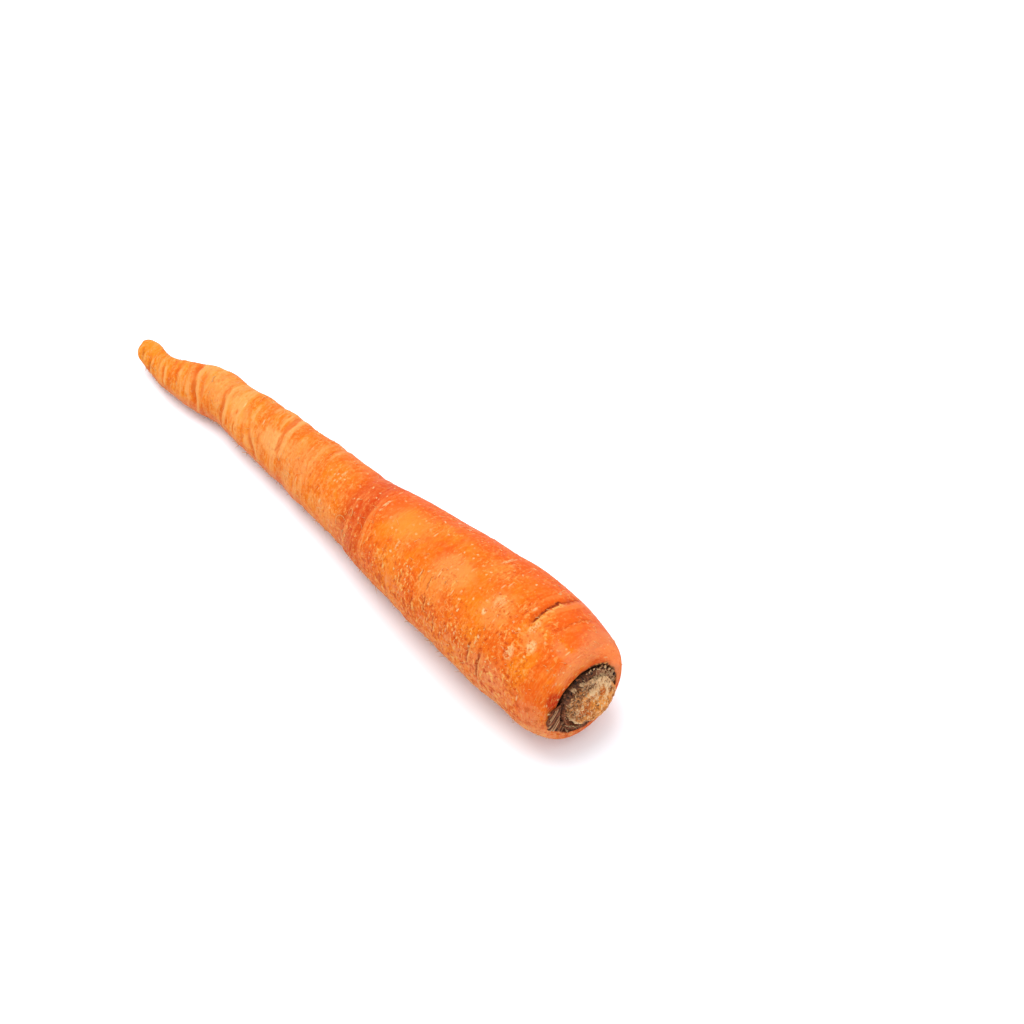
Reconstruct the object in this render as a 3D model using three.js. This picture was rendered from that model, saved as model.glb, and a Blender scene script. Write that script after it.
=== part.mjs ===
// A carrot lying on its side: one swollen taproot, a collar of dried leaf-stalk bases in the hollow of
// its crown, and the trimmed butt that the stalks grew from, standing in the middle of the collar.
//
// Millimetres, +Z up. The tip points along -X and the crown along +X. Every skin is one closed grid:
// places along the carrot in one direction, angles round it in the other, and one point at each end.
// Angle 0 is the +Y side, 90 degrees the top, 180 the -Y side and 270 the underside.

import * as THREE from 'three';

// ---- driving dimensions ------------------------------------------------------------------------

// The taproot along its length: [distance from the tip, radius].
const RADII = [
  [0, 3.1], [4, 3.6], [13, 4.75], [24, 6.9], [36, 7.95], [43, 7.7], [54, 8.6], [66, 9.5], [91, 10.7],
  [108, 11.7], [120, 12.9], [132, 14.6], [151, 16.2], [169, 17.8], [182, 18.6], [192.5, 18.4],
];
// How far its middle line wanders sideways: [distance from the tip, distance towards +Y].
const BENDS = [
  [0, -4.0], [4, -3.9], [14, -3.5], [22, -2.4], [32, 0.1], [43, 1.7], [56, 1.1], [76, 1.2], [96, 1.0],
  [121, -0.3], [138, -0.4], [161, -1.0], [184, -0.9], [193, -0.8], [204, -1.7], [214, -2.4],
];
// How far its underside clears the surface that it lies on: the thin end curls up a little.
const LIFTS = [[0, 4.2], [4, 2.9], [10, 1.5], [22, 0.6], [46, 0.4], [86, 0.2], [116, 0], [218, 0]];
// How far each growth ring leans along the carrot, forward on the near side and back on the far side.
const SLANTS = [
  [0, 0], [8, 1.2], [16, 3.0], [30, 3.2], [45, 1.6], [62, 4.0], [85, 3.0], [110, 2.0], [140, 0.8],
  [170, 0.3], [192.5, 0],
];
const TIP_ROUND = 3.2;        // length in which the blunt tip rounds off
const SHOULDER = 192.5;       // where the crown starts to turn in
const SHOULDER_TURN = 26;     // length of skin from there to the lip
const LIP_PLACE = 213.6;      // the crown's highest point along the carrot
const LIP_RADIUS = 11.3;      // the lip round the hollow of the crown
const SOCKET_DEPTH = 1.5;     // the hollow in the crown that holds the stalk remains
const SOCKET_RADIUS = 10.2;
const PRESSED = 0.35;         // the heavy end lies on a flat spot as deep as this
const GAP = 0.3;              // between one piece and the next

// Folds across the skin. Each is a groove at one place along the carrot, deepest at one angle, that
// dies out to both sides, with a raised lip on its crown side.
const FOLDS = [
  { place: 7.6, depth: 0.3, width: 0.8, middle: 160, reach: 45, lean: 0.6, lip: 0.4 },
  { place: 15.5, depth: 0.35, width: 0.9, middle: 160, reach: 45, lean: 1.2, lip: 0.5 },
  { place: 22.0, depth: 0.3, width: 1.1, middle: 140, reach: 45, lean: 1.5, lip: 0.3 },
  { place: 29.4, depth: 0.8, width: 1.1, middle: 130, reach: 62, lean: 1.6, lip: 0.6 },
  { place: 44.3, depth: 0.55, width: 1.0, middle: 146, reach: 52, lean: 0.9, lip: 0.55 },
  { place: 60.5, depth: 0.45, width: 1.1, middle: 158, reach: 44, lean: 3.4, lip: 0.55 },
  { place: 74.0, depth: 0.4, width: 1.5, middle: 95, reach: 60, lean: 1.0, lip: 0.3 },
  { place: 113.5, depth: 0.5, width: 1.9, middle: 150, reach: 70, lean: 0, lip: 0.3 },
  { place: 122.5, depth: 0.45, width: 1.6, middle: 130, reach: 60, lean: 3.0, lip: 0.6 },
  { place: 182.6, depth: 0.4, width: 0.6, middle: 168, reach: 15, lean: 0.6, lip: 0.6 },
  { place: 187.0, depth: 0.45, width: 0.6, middle: 172, reach: 16, lean: 0.4, lip: 0.6 },
  { place: 194.1, depth: 0.75, width: 0.75, middle: 92, reach: 48, lean: 1.0, lip: 0.6 },
  { place: 200.4, depth: 0.2, width: 0.7, middle: 72, reach: 28, lean: 0, lip: 0.4 },
];
const SMALL_FOLDS = 24;       // shallower ones, drawn at random all round
const SMALL_FOLD_FROM = 9;
const SMALL_FOLD_TO = 190;
const WANDER = 0.35;          // how far a fold strays to and fro along the carrot
const UNEVEN = 0.35;          // how much its depth comes and goes

const ROOT_SIDES = 40;        // points round the taproot
const STALK_SIDES = 64;       // points round the stalk remains
const FILL_STEP = 3.2;        // longest step along the taproot where there is no fold
const LEAST_STEP = 0.9;       // shortest step, across a fold
const SHOULDER_RINGS = 9;     // rings round the turn of the crown

// The collar of stalk bases: papery flakes packed round the butt, with one tongue over the lip.
const COLLAR_RADIUS = 9.75;
const COLLAR_HEIGHT = 1.75;   // from the floor of the hollow to the crest of the flakes
const COLLAR_FLOOR = 0.6;
const COLLAR_DIP = 0.65;      // how much lower it is under the butt's overhang
const FLAKES = 11;
const FLAKE_HEIGHT = 0.55;
const TONGUE_RADIUS = 13.9;
const TONGUE_MIDDLE = 179;
const TONGUE_REACH = 29;
const TONGUE_THICKNESS = 0.75;

// The butt: a low domed knob that hangs over the lip on one side.
const BUTT_RADIUS = 8.2;
const BUTT_TOP = 216.2;
const BUTT_EDGE = 1.1;        // how much lower its rim is than its middle
const OVERHANG = 2.3;
const OVERHANG_MIDDLE = 318;
const OVERHANG_REACH = 42;
const OVERHANG_FROM = LIP_PLACE + 0.5;

const CARROT_ORANGE = 0xf57c28;
const DRY_BROWN = 0x4a3424;
const STALK_TAN = 0xb98f5c;

// ---- small tools -------------------------------------------------------------------------------

const radians = (degrees) => degrees * Math.PI / 180;
const clamp = (value, low, high) => Math.min(Math.max(value, low), high);

/** A repeatable draw from 0 to 1 for the whole number k. */
function draw(k) {
  const big = Math.sin(k * 12.9898) * 43758.5453;
  return big - Math.floor(big);
}

/** A smooth curve through a table of [place, value] rows, held level past its ends. */
function curve(table, place) {
  const last = table.length - 1;
  const at = clamp(place, table[0][0], table[last][0]);
  let i = 0;
  while (i < last - 1 && at >= table[i + 1][0]) i += 1;
  const slope = (j) => {
    const low = table[Math.max(j - 1, 0)];
    const high = table[Math.min(j + 1, last)];
    return (high[1] - low[1]) / (high[0] - low[0]);
  };
  const step = table[i + 1][0] - table[i][0];
  const t = (at - table[i][0]) / step;
  return (2 * t ** 3 - 3 * t ** 2 + 1) * table[i][1]
    + (t ** 3 - 2 * t ** 2 + t) * step * slope(i)
    + (3 * t ** 2 - 2 * t ** 3) * table[i + 1][1]
    + (t ** 3 - t ** 2) * step * slope(i + 1);
}

/** 0 below low, 1 above high, and an S curve between. */
function smooth(low, high, value) {
  const t = clamp((value - low) / (high - low), 0, 1);
  return t * t * (3 - 2 * t);
}

/** The difference between two angles in degrees, from -180 to 180. */
function turnBetween(angle, other) {
  return ((angle - other + 540) % 360 + 360) % 360 - 180;
}

/** 1 near the middle angle, falling to 0 past the reach on both sides. */
function window(angle, middle, reach) {
  return Math.exp(-((turnBetween(angle, middle) / reach) ** 4));
}

/**
 * A closed mesh from rings of points. Each ring lists points round the axis in order of angle, from
 * the -X end to the +X end, or out and back again, and first and last are the points that close it.
 */
function closedSkin(rings, first, last) {
  const sides = rings[0].length;
  const points = [first, ...rings.flat(), last];
  const end = points.length - 1;
  const faces = [];
  for (let j = 0; j < sides; j += 1) {
    const k = (j + 1) % sides;
    faces.push(0, 1 + k, 1 + j);
    for (let i = 0; i < rings.length - 1; i += 1) {
      const near = 1 + i * sides;
      const far = near + sides;
      faces.push(near + j, near + k, far + k);
      faces.push(near + j, far + k, far + j);
    }
    const rim = 1 + (rings.length - 1) * sides;
    faces.push(end, rim + j, rim + k);
  }
  const geometry = new THREE.BufferGeometry();
  geometry.setAttribute('position', new THREE.Float32BufferAttribute(points.flat(), 3));
  geometry.setIndex(faces);
  geometry.computeVertexNormals();
  return geometry;
}

// ---- the taproot -------------------------------------------------------------------------------

const smallFolds = Array.from({ length: SMALL_FOLDS }, (_, k) => {
  const spacing = (SMALL_FOLD_TO - SMALL_FOLD_FROM) / SMALL_FOLDS;
  return {
    place: SMALL_FOLD_FROM + spacing * (k + 0.2 + 0.6 * draw(k + 1)),
    depth: 0.14 + 0.2 * draw(k + 51),
    width: 0.9 + 0.8 * draw(k + 101),
    middle: 360 * draw(k + 151),
    reach: 35 + 50 * draw(k + 201),
    lean: 3 * (draw(k + 251) - 0.5),
    lip: 0.3,
  };
});
const folds = [...FOLDS, ...smallFolds];

/** The plain outline: [distance along, radius] at a distance s measured over the skin. */
function outline(s) {
  if (s < TIP_ROUND) {
    const left = 1 - s / TIP_ROUND;
    return [s, curve(RADII, s) * Math.sqrt(1 - left * left)];
  }
  if (s <= SHOULDER) return [s, curve(RADII, s)];
  const turn = Math.min((s - SHOULDER) / SHOULDER_TURN, 1) * Math.PI / 2;
  const widest = curve(RADII, SHOULDER);
  return [
    SHOULDER + (LIP_PLACE - SHOULDER) * Math.sin(turn) ** 0.9,
    LIP_RADIUS + (widest - LIP_RADIUS) * Math.max(Math.cos(turn), 0) ** 0.75,
  ];
}

/** Height of the middle line above the surface that the carrot lies on. */
function middleHeight(along) {
  return curve(RADII, Math.min(along, SHOULDER)) + curve(LIFTS, along) - PRESSED;
}

/** How far the skin stands out from the plain outline: folds, and a slow unevenness between them. */
function relief(s, angle) {
  const fromBelow = Math.abs(turnBetween(angle, 270));
  const lying = smooth(60, 110, s) * (1 - smooth(18, 42, fromBelow));
  const a = radians(angle);
  let height = 0;
  for (const fold of folds) {
    const lean = fold.lean * radians(turnBetween(angle, fold.middle));
    const wander = WANDER * (Math.sin(3 * a + fold.place) + 0.6 * Math.sin(8 * a + 2 * fold.place));
    const across = (s - fold.place - lean - wander) / fold.width;
    const groove = Math.exp(-across * across);
    const lip = fold.lip * Math.exp(-((across - 1.7) ** 2));
    const depth = fold.depth * (1 + UNEVEN * Math.sin(5 * a + 3 * fold.place));
    height += depth * window(angle, fold.middle, fold.reach) * (lip - groove);
  }
  height += 0.16 * Math.sin(0.115 * s + a + 0.6) + 0.12 * Math.sin(0.21 * s - 2 * a + 2.1);
  height += 0.08 * Math.sin(0.37 * s + 3 * a + 4.0);
  const ends = smooth(0, 6, s) * (1 - smooth(SHOULDER + 12, SHOULDER + SHOULDER_TURN, s));
  return height * ends * (1 - lying);
}

/** A point of the taproot's skin, at s over the skin from the tip and at an angle round it. */
function skinPoint(s, angle) {
  const a = radians(angle);
  const slanted = s - curve(SLANTS, s) * Math.cos(a) * smooth(0, 8, s);
  const [along, radius] = outline(slanted);
  const [alongNext, radiusNext] = outline(slanted + 0.01);
  const climb = Math.atan2(radiusNext - radius, alongNext - along);
  const height = relief(s, angle);
  const x = along - height * Math.sin(climb);
  const r = radius * (1 + 0.012 * Math.cos(2 * (a - 1.2))) + height * Math.cos(climb);
  const y = curve(BENDS, x) + r * Math.cos(a);
  const z = middleHeight(x) + r * Math.sin(a);
  return [x, y, Math.max(z, 0)];
}

/** Places for the rings of points: one on every fold and its flanks, then evenly spread between. */
function ringPlaces() {
  const wanted = [0.25, 0.9, 1.9, TIP_ROUND, SHOULDER + SHOULDER_TURN];
  for (const side of [0, 1.5, -1.2]) {
    for (const fold of folds) wanted.push(fold.place + side * fold.width);
  }
  for (const side of [0.7, -0.6, 2.4]) {
    for (const fold of FOLDS) wanted.push(fold.place + side * fold.width);
  }
  for (let k = 1; k < SHOULDER_RINGS; k += 1) {
    wanted.push(SHOULDER + SHOULDER_TURN * k / SHOULDER_RINGS);
  }
  for (let s = 6; s < SHOULDER; s += FILL_STEP) wanted.push(s);
  const places = [];
  for (const s of wanted) {
    const least = s < TIP_ROUND ? 0.5 : LEAST_STEP;
    if (places.every((other) => Math.abs(other - s) > least)) places.push(s);
  }
  return places.sort((one, other) => one - other);
}

/** A ring of the crown's hollow, level with one place along the carrot. */
function crownRing(along, radius, sides) {
  return Array.from({ length: sides }, (_, j) => {
    const a = 2 * Math.PI * j / sides;
    const z = middleHeight(LIP_PLACE) + radius * Math.sin(a);
    return [along, curve(BENDS, LIP_PLACE) + radius * Math.cos(a), z];
  });
}

function taprootGeometry() {
  const rings = ringPlaces().map((s) => (
    Array.from({ length: ROOT_SIDES }, (_, j) => skinPoint(s, 360 * j / ROOT_SIDES))
  ));
  const floor = LIP_PLACE - SOCKET_DEPTH;
  rings.push(crownRing(LIP_PLACE - 0.1, SOCKET_RADIUS + 0.6, ROOT_SIDES));
  rings.push(crownRing(LIP_PLACE - 0.5, SOCKET_RADIUS + 0.25, ROOT_SIDES));
  rings.push(crownRing(floor, SOCKET_RADIUS, ROOT_SIDES));
  rings.push(crownRing(floor, SOCKET_RADIUS / 2, ROOT_SIDES));
  const tip = [0, BENDS[0][1], middleHeight(0)];
  const hollow = [floor, curve(BENDS, LIP_PLACE), middleHeight(LIP_PLACE)];
  return closedSkin(rings, tip, hollow);
}

// ---- the collar of stalk bases -----------------------------------------------------------------

/** How much of the tongue stands over the lip at an angle, from 0 to 1. */
function tongue(angle) {
  return Math.exp(-((turnBetween(angle, TONGUE_MIDDLE) / TONGUE_REACH) ** 8));
}

/** Where the collar's underside lies at a radius: just clear of the hollow, the lip or the shoulder. */
function collarUnderside(radius) {
  const floor = LIP_PLACE - SOCKET_DEPTH + GAP;
  const top = LIP_PLACE + GAP;
  if (radius <= LIP_RADIUS) return floor + (top - floor) * smooth(9.4, 10.3, radius);
  const widest = curve(RADII, SHOULDER);
  const fall = ((radius - LIP_RADIUS) / (widest - LIP_RADIUS)) ** (1 / 0.75);
  return SHOULDER + (LIP_PLACE - SHOULDER) * Math.sqrt(1 - fall * fall) ** 0.9 + GAP;
}

function collarPoint(angle, along, radius) {
  const a = radians(angle);
  const y = curve(BENDS, LIP_PLACE) + radius * Math.cos(a);
  return [along, y, middleHeight(LIP_PLACE) + radius * Math.sin(a)];
}

function collarGeometry() {
  const floor = LIP_PLACE - SOCKET_DEPTH + GAP;
  const angles = Array.from({ length: STALK_SIDES }, (_, j) => 360 * j / STALK_SIDES);
  const crest = (angle) => {
    const lobes = Math.abs(Math.sin(radians(angle) * FLAKES / 2)) ** 0.6;
    const dip = COLLAR_DIP * window(angle, OVERHANG_MIDDLE, OVERHANG_REACH + 18);
    return floor + COLLAR_HEIGHT - FLAKE_HEIGHT + FLAKE_HEIGHT * lobes - dip;
  };
  const edge = (angle) => {
    const ragged = 0.25 * Math.sin(radians(angle) * 7 + 1) * tongue(angle);
    return COLLAR_RADIUS + (TONGUE_RADIUS - COLLAR_RADIUS) * tongue(angle) + ragged;
  };
  const under = (share) => angles.map((angle) => {
    const radius = 9.2 + (edge(angle) - 9.2) * share;
    return collarPoint(angle, collarUnderside(radius), radius);
  });
  const over = (share) => angles.map((angle) => {
    const radius = 9.3 + (edge(angle) - 9.3) * share;
    const thin = collarUnderside(radius) + TONGUE_THICKNESS * (1.15 - 0.5 * share);
    const inside = crest(angle) - 0.5 * share;
    const along = inside + (Math.max(thin, inside) - inside) * tongue(angle);
    return collarPoint(angle, along, radius);
  });
  const level = (along, radius) => angles.map((angle) => collarPoint(angle, along, radius));
  const rings = [
    level(floor, 5), level(floor, 9.2), under(0.35), under(0.7), under(1),
    over(1), over(0.8), over(0.6), over(0.4), over(0.2), over(0),
    level(floor + COLLAR_FLOOR, 8.9), level(floor + COLLAR_FLOOR, 5),
  ];
  const middle = collarPoint(0, floor, 0);
  const top = collarPoint(0, floor + COLLAR_FLOOR, 0);
  return closedSkin(rings, middle, top);
}

// ---- the butt ----------------------------------------------------------------------------------

function buttGeometry() {
  const base = LIP_PLACE - SOCKET_DEPTH + GAP + COLLAR_FLOOR + GAP;
  const angles = Array.from({ length: STALK_SIDES }, (_, j) => 360 * j / STALK_SIDES);
  const rim = (angle) => BUTT_RADIUS * (1 + 0.025 * Math.sin(radians(angle) * 3 + 0.7)
    + 0.03 * Math.cos(radians(angle - 330)) - 0.1 * window(angle, 222, 26));
  const hanging = (angle) => OVERHANG * window(angle, OVERHANG_MIDDLE, OVERHANG_REACH);
  const ring = (along, share, hang = share) => angles.map((angle) => (
    collarPoint(angle, along, rim(angle) * share + hanging(angle) * hang)
  ));
  const rimPlace = BUTT_TOP - BUTT_EDGE;
  const rings = [
    ring(base, 0.5, 0), ring(base, 0.9, 0), ring(base + 0.4, 0.94, 0),
    ring(OVERHANG_FROM - 0.1, 0.96, 0), ring(OVERHANG_FROM, 0.97, 0.3),
    ring(OVERHANG_FROM + 0.08, 0.98, 0.65), ring(OVERHANG_FROM + 0.2, 0.985, 0.88),
    ring(OVERHANG_FROM + 0.65, 1), ring(rimPlace, 0.99), ring(rimPlace + 0.35, 0.95),
    ring(BUTT_TOP - 0.45, 0.82), ring(BUTT_TOP - 0.2, 0.6), ring(BUTT_TOP - 0.05, 0.3),
  ];
  return closedSkin(rings, collarPoint(0, base, 0), collarPoint(0, BUTT_TOP, 0));
}

// ---- the carrot --------------------------------------------------------------------------------

function piece(name, geometry, color, roughness) {
  const material = new THREE.MeshStandardMaterial({ color, roughness, metalness: 0 });
  const mesh = new THREE.Mesh(geometry, material);
  mesh.name = name;
  return mesh;
}

const carrot = new THREE.Group();
carrot.add(piece('taproot', taprootGeometry(), CARROT_ORANGE, 0.45));
carrot.add(piece('stalk_collar', collarGeometry(), DRY_BROWN, 0.9));
carrot.add(piece('stalk_butt', buttGeometry(), STALK_TAN, 0.85));

// The origin is under the middle of the whole carrot, on the surface that it lies on.
const middle = new THREE.Box3().setFromObject(carrot).getCenter(new THREE.Vector3());
carrot.position.set(-middle.x, -middle.y, 0);

export default carrot;
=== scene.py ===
# %% [markdown] # A carrot, dressed in Blender  The packed model is a plain, faceted carrot in three
# pieces: the taproot, a collar of dried leaf-stalk bases in the hollow of its crown, and the trimmed
# butt in the middle of the collar. This lesson puts a finer skin in the place of each one, adds the
# hairs that a real carrot has, and colours everything with procedural materials. Sizes are in
# millimetres until a mesh is made.

import bpy
import numpy as np
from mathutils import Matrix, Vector


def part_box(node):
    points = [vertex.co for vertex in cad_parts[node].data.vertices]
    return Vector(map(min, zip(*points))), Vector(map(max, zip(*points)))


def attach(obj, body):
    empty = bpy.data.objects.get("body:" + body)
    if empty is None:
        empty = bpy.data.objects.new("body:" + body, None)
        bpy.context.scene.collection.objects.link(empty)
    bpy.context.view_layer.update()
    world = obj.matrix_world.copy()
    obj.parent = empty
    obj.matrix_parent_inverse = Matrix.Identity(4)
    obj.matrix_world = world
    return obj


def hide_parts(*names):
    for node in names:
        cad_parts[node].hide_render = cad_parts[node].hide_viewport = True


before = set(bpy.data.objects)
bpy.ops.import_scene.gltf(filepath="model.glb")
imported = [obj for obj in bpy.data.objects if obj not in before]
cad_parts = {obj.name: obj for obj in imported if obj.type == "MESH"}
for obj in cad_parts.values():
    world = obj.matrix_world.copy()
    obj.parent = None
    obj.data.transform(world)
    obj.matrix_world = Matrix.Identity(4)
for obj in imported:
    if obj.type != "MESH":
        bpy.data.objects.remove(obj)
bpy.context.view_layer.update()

MM = 0.001
taproot_low, taproot_high = (np.array(corner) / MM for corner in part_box("taproot"))
print("pieces of the packed model:", ", ".join(sorted(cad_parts)))
print("its taproot, mm:", np.round(taproot_high - taproot_low, 1))

# %% [markdown]
# ## Curves and fades
#
# A shape that grew is smooth but never regular. `curve` draws a smooth line through a few measured
# stations, for the outline and for the bends. A Bezier curve object could do that too, but a formula
# can be read at a hundred thousand places at once. `smooth` and `window` are the two ways in which
# something fades out here: along a stretch, and round an angle.

# %% Smooth curves and fades
def curve(table, place):
    """A smooth line through [place, value] rows: cubic pieces whose slope at each row is the slope
    from the row before to the row after, held level past both ends."""
    at, value = np.array(table, float).T
    place = np.clip(place, at[0], at[-1])
    slope = np.empty_like(value)
    slope[1:-1] = (value[2:] - value[:-2]) / (at[2:] - at[:-2])
    slope[0] = (value[1] - value[0]) / (at[1] - at[0])
    slope[-1] = (value[-1] - value[-2]) / (at[-1] - at[-2])
    i = np.clip(np.searchsorted(at, place, side="right") - 1, 0, len(at) - 2)
    step = at[i + 1] - at[i]
    t = (place - at[i]) / step
    rise = 3 * t**2 - 2 * t**3
    ease_out = (t**3 - 2 * t**2 + t) * step * slope[i]
    ease_in = (t**3 - t**2) * step * slope[i + 1]
    return (1 - rise) * value[i] + ease_out + rise * value[i + 1] + ease_in


def smooth(low, high, value):
    """0 below low, 1 above high, and an S curve between."""
    t = np.clip((value - low) / (high - low), 0, 1)
    return t * t * (3 - 2 * t)


def turn_between(angle, other):
    """The difference between two angles in degrees, from -180 to 180."""
    return (angle - other + 180) % 360 - 180


def window(angle, middle, reach):
    """1 near the middle angle, falling to 0 past the reach on both sides."""
    return np.exp(-((turn_between(angle, middle) / reach) ** 4))


print("smooth half way:", smooth(0, 1, 0.5), " window at its reach:", np.round(window(0, 45, 45), 2))

# %% [markdown]
# ## Draws and noise
#
# `draw` gives a number from 0 to 1 for each whole number, the same one on every run. Each property of
# a crumb or a hair has its own run of whole numbers, so that tall ones aren't also the wide ones.
# `soft_noise` gives slow irregularity: a draw at each crossing of a net, blended between them. A
# Displace modifier could read a noise texture, but with numpy the heights are also there for the
# colours later.

# %% Draws and noise
def draw(k):
    """A repeatable draw from 0 to 1 for each whole number k."""
    big = np.sin(np.asarray(k, float) * 12.9898) * 43758.5453
    return big - np.floor(big)


def cell_draw(i, j, seed):
    """A repeatable draw from 0 to 1 for each pair of whole numbers."""
    big = np.sin(i * 12.9898 + j * 78.233 + seed * 37.719) * 43758.5453
    return big - np.floor(big)


def soft_noise(along, angle, size, cells, seed):
    """Smooth noise from 0 to 1 on the skin: random heights on a net whose meshes are size long and of
    which there are a whole number round the carrot, blended by S curves."""
    u = along / size
    v = (angle % 360) / 360 * cells
    i, j = np.floor(u), np.floor(v)
    a, b = u - i, v - j
    a, b = a * a * (3 - 2 * a), b * b * (3 - 2 * b)
    near = cell_draw(i, j % cells, seed) * (1 - a) + cell_draw(i + 1, j % cells, seed) * a
    far = cell_draw(i, (j + 1) % cells, seed) * (1 - a) + cell_draw(i + 1, (j + 1) % cells, seed) * a
    return near * (1 - b) + far * b


print("three draws:", np.round(draw([1, 2, 3]), 3))

# %% [markdown]
# ## The form of the taproot
#
# A taproot is a cone that swells, pinches and bends, and its thin end curls up off the table. It could
# be sculpted. Here it is a table of radii along a table of bends, the same as in the packed model, so
# that the fine skin lies where the faceted one does. Distances along the carrot start at the tip, and
# angles round it start on its far side and turn up over the top.

# %% The carrot's own tables
# each row: distance from the tip, then the radius, the shift sideways, the lift off the table, or how
# far the growth rings lean, all in mm
RADII = [
    [0, 3.1], [4, 3.6], [13, 4.75], [24, 6.9], [36, 7.95], [43, 7.7], [54, 8.6], [66, 9.5], [91, 10.7],
    [108, 11.7], [120, 12.9], [132, 14.6], [151, 16.2], [169, 17.8], [182, 18.6], [192.5, 18.4],
]
BENDS = [
    [0, -4.0], [4, -3.9], [14, -3.5], [22, -2.4], [32, 0.1], [43, 1.7], [56, 1.1], [76, 1.2], [96, 1.0],
    [121, -0.3], [138, -0.4], [161, -1.0], [184, -0.9], [193, -0.8], [204, -1.7], [214, -2.4],
]
LIFTS = [[0, 4.2], [4, 2.9], [10, 1.5], [22, 0.6], [46, 0.4], [86, 0.2], [116, 0], [218, 0]]
SLANTS = [
    [0, 0], [8, 1.2], [16, 3.0], [30, 3.2], [45, 1.6], [62, 4.0], [85, 3.0], [110, 2.0], [140, 0.8],
    [170, 0.3], [192.5, 0],
]
TIP_ROUND = 3.2
PRESSED = 0.35
# the shoulder: where it starts, how much skin it takes to turn in to the lip, and the lip itself
SHOULDER = 192.5
SHOULDER_TURN = 26
SKIN_LENGTH = SHOULDER + SHOULDER_TURN
LIP_PLACE = 213.6
LIP_RADIUS = 11.3
SHOULDER_RISE = 0.9
SHOULDER_FALL = 0.75
print("skin from tip to lip, mm:", SKIN_LENGTH)

# %% [markdown]
# ## The outline
#
# The tip and the shoulder are rounder than a table of radii can say, so each has its own formula: a
# quarter of an ellipse at the tip, and a squarer quarter at the shoulder. Spinning a drawn profile
# would also do, but then the growth rings could not lean.

# %% The outline and the middle line
def outline(s):
    """The plain outline at a distance s over the skin: how far along, and the radius there. The tip is
    a quarter of an ellipse, the shoulder a squarer quarter, and the table of radii lies between."""
    left = 1 - np.clip(s / TIP_ROUND, 0, 1)
    radius = curve(RADII, s) * np.sqrt(1 - left**2)
    turn = np.clip((s - SHOULDER) / SHOULDER_TURN, 0, 1) * np.pi / 2
    widest = RADII[-1][1]
    along = SHOULDER + (LIP_PLACE - SHOULDER) * np.sin(turn) ** SHOULDER_RISE
    turned = LIP_RADIUS + (widest - LIP_RADIUS) * np.clip(np.cos(turn), 0, 1) ** SHOULDER_FALL
    past = s > SHOULDER
    return np.where(past, along, s), np.where(past, turned, radius)


def middle_height(along):
    """Height of the middle line over the table: the radius, plus the lift, less the pressed spot."""
    return curve(RADII, np.minimum(along, SHOULDER)) + curve(LIFTS, along) - PRESSED


crown_y = float(curve(BENDS, LIP_PLACE))
crown_z = float(middle_height(LIP_PLACE))
print("crown's middle, mm:", round(crown_y, 2), round(crown_z, 2))

# %% [markdown]
# ## Folds
#
# As a carrot thickens and dries, its skin folds across the root. Each fold is a groove that is deepest
# on one side, dies out round the carrot, and pushes up a lip on its crown side. The large ones are
# listed one by one and the small ones drawn at random. All are where the packed model has them, though
# a few are a little softer or shorter here. As they are modelled and not only painted, light catches
# them from every side; their grooves also carry painted shade.

# %% Large and small folds
# each fold: place, depth and width in mm, middle angle and reach in degrees, lean in mm per radian, and
# the lip's height as a share of the depth
FOLDS = [
    (7.6, 0.3, 0.8, 160, 45, 0.6, 0.4),
    (15.5, 0.35, 0.9, 160, 45, 1.2, 0.5),
    (22.0, 0.3, 1.1, 140, 45, 1.5, 0.3),
    (29.4, 0.75, 1.5, 130, 62, 1.6, 0.6),
    (44.3, 0.5, 1.4, 146, 52, 0.9, 0.55),
    (60.5, 0.4, 1.4, 158, 44, 3.4, 0.55),
    (74.0, 0.4, 1.5, 95, 60, 1.0, 0.3),
    (113.5, 0.5, 1.9, 150, 70, 0, 0.3),
    (122.5, 0.45, 1.6, 130, 60, 3.0, 0.6),
    (182.6, 0.4, 0.6, 168, 15, 0.6, 0.6),
    (187.0, 0.45, 0.6, 172, 16, 0.4, 0.6),
    (193.9, 0.65, 0.85, 78, 31, 1.0, 0.6),
    (200.4, 0.2, 0.7, 72, 28, 0, 0.4),
]
SMALL_FOLDS = 24
SMALL_FOLDS_FROM = 9
SMALL_FOLDS_TO = 190
SMALL_FOLD_LIP = 0.3


def small_folds():
    """One shallow fold in each equal stretch of the root, at a drawn place, depth and angle."""
    k = np.arange(SMALL_FOLDS)
    spacing = (SMALL_FOLDS_TO - SMALL_FOLDS_FROM) / SMALL_FOLDS
    place = SMALL_FOLDS_FROM + spacing * (k + 0.2 + 0.6 * draw(k + 1))
    depth = 0.14 + 0.2 * draw(k + 51)
    width = 0.9 + 0.8 * draw(k + 101)
    middle = 360 * draw(k + 151)
    reach = 35 + 50 * draw(k + 201)
    lean = 3 * (draw(k + 251) - 0.5)
    lip = np.full(SMALL_FOLDS, SMALL_FOLD_LIP)
    return list(zip(place, depth, width, middle, reach, lean, lip))


all_folds = FOLDS + small_folds()
print("folds:", len(FOLDS), "large and", SMALL_FOLDS, "small")

# %% [markdown]
# ## The relief that the folds add up to
#
# Every fold adds its own height, so folds can cross and run into each other as real ones do. A fold
# isn't a clean ring: it leans, it wanders, and its depth changes. There is none on the underside,
# where the carrot's weight presses the skin flat.

# %% The relief of the folds
UNDERSIDE = 270
WANDER = 0.35
UNEVEN = 0.35
LIP_AWAY = 1.7


def lying_part(s, angle):
    """1 on the underside that the heavy end lies on, 0 elsewhere."""
    from_below = np.abs(turn_between(angle, UNDERSIDE))
    return smooth(60, 110, s) * (1 - smooth(18, 42, from_below))


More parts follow.
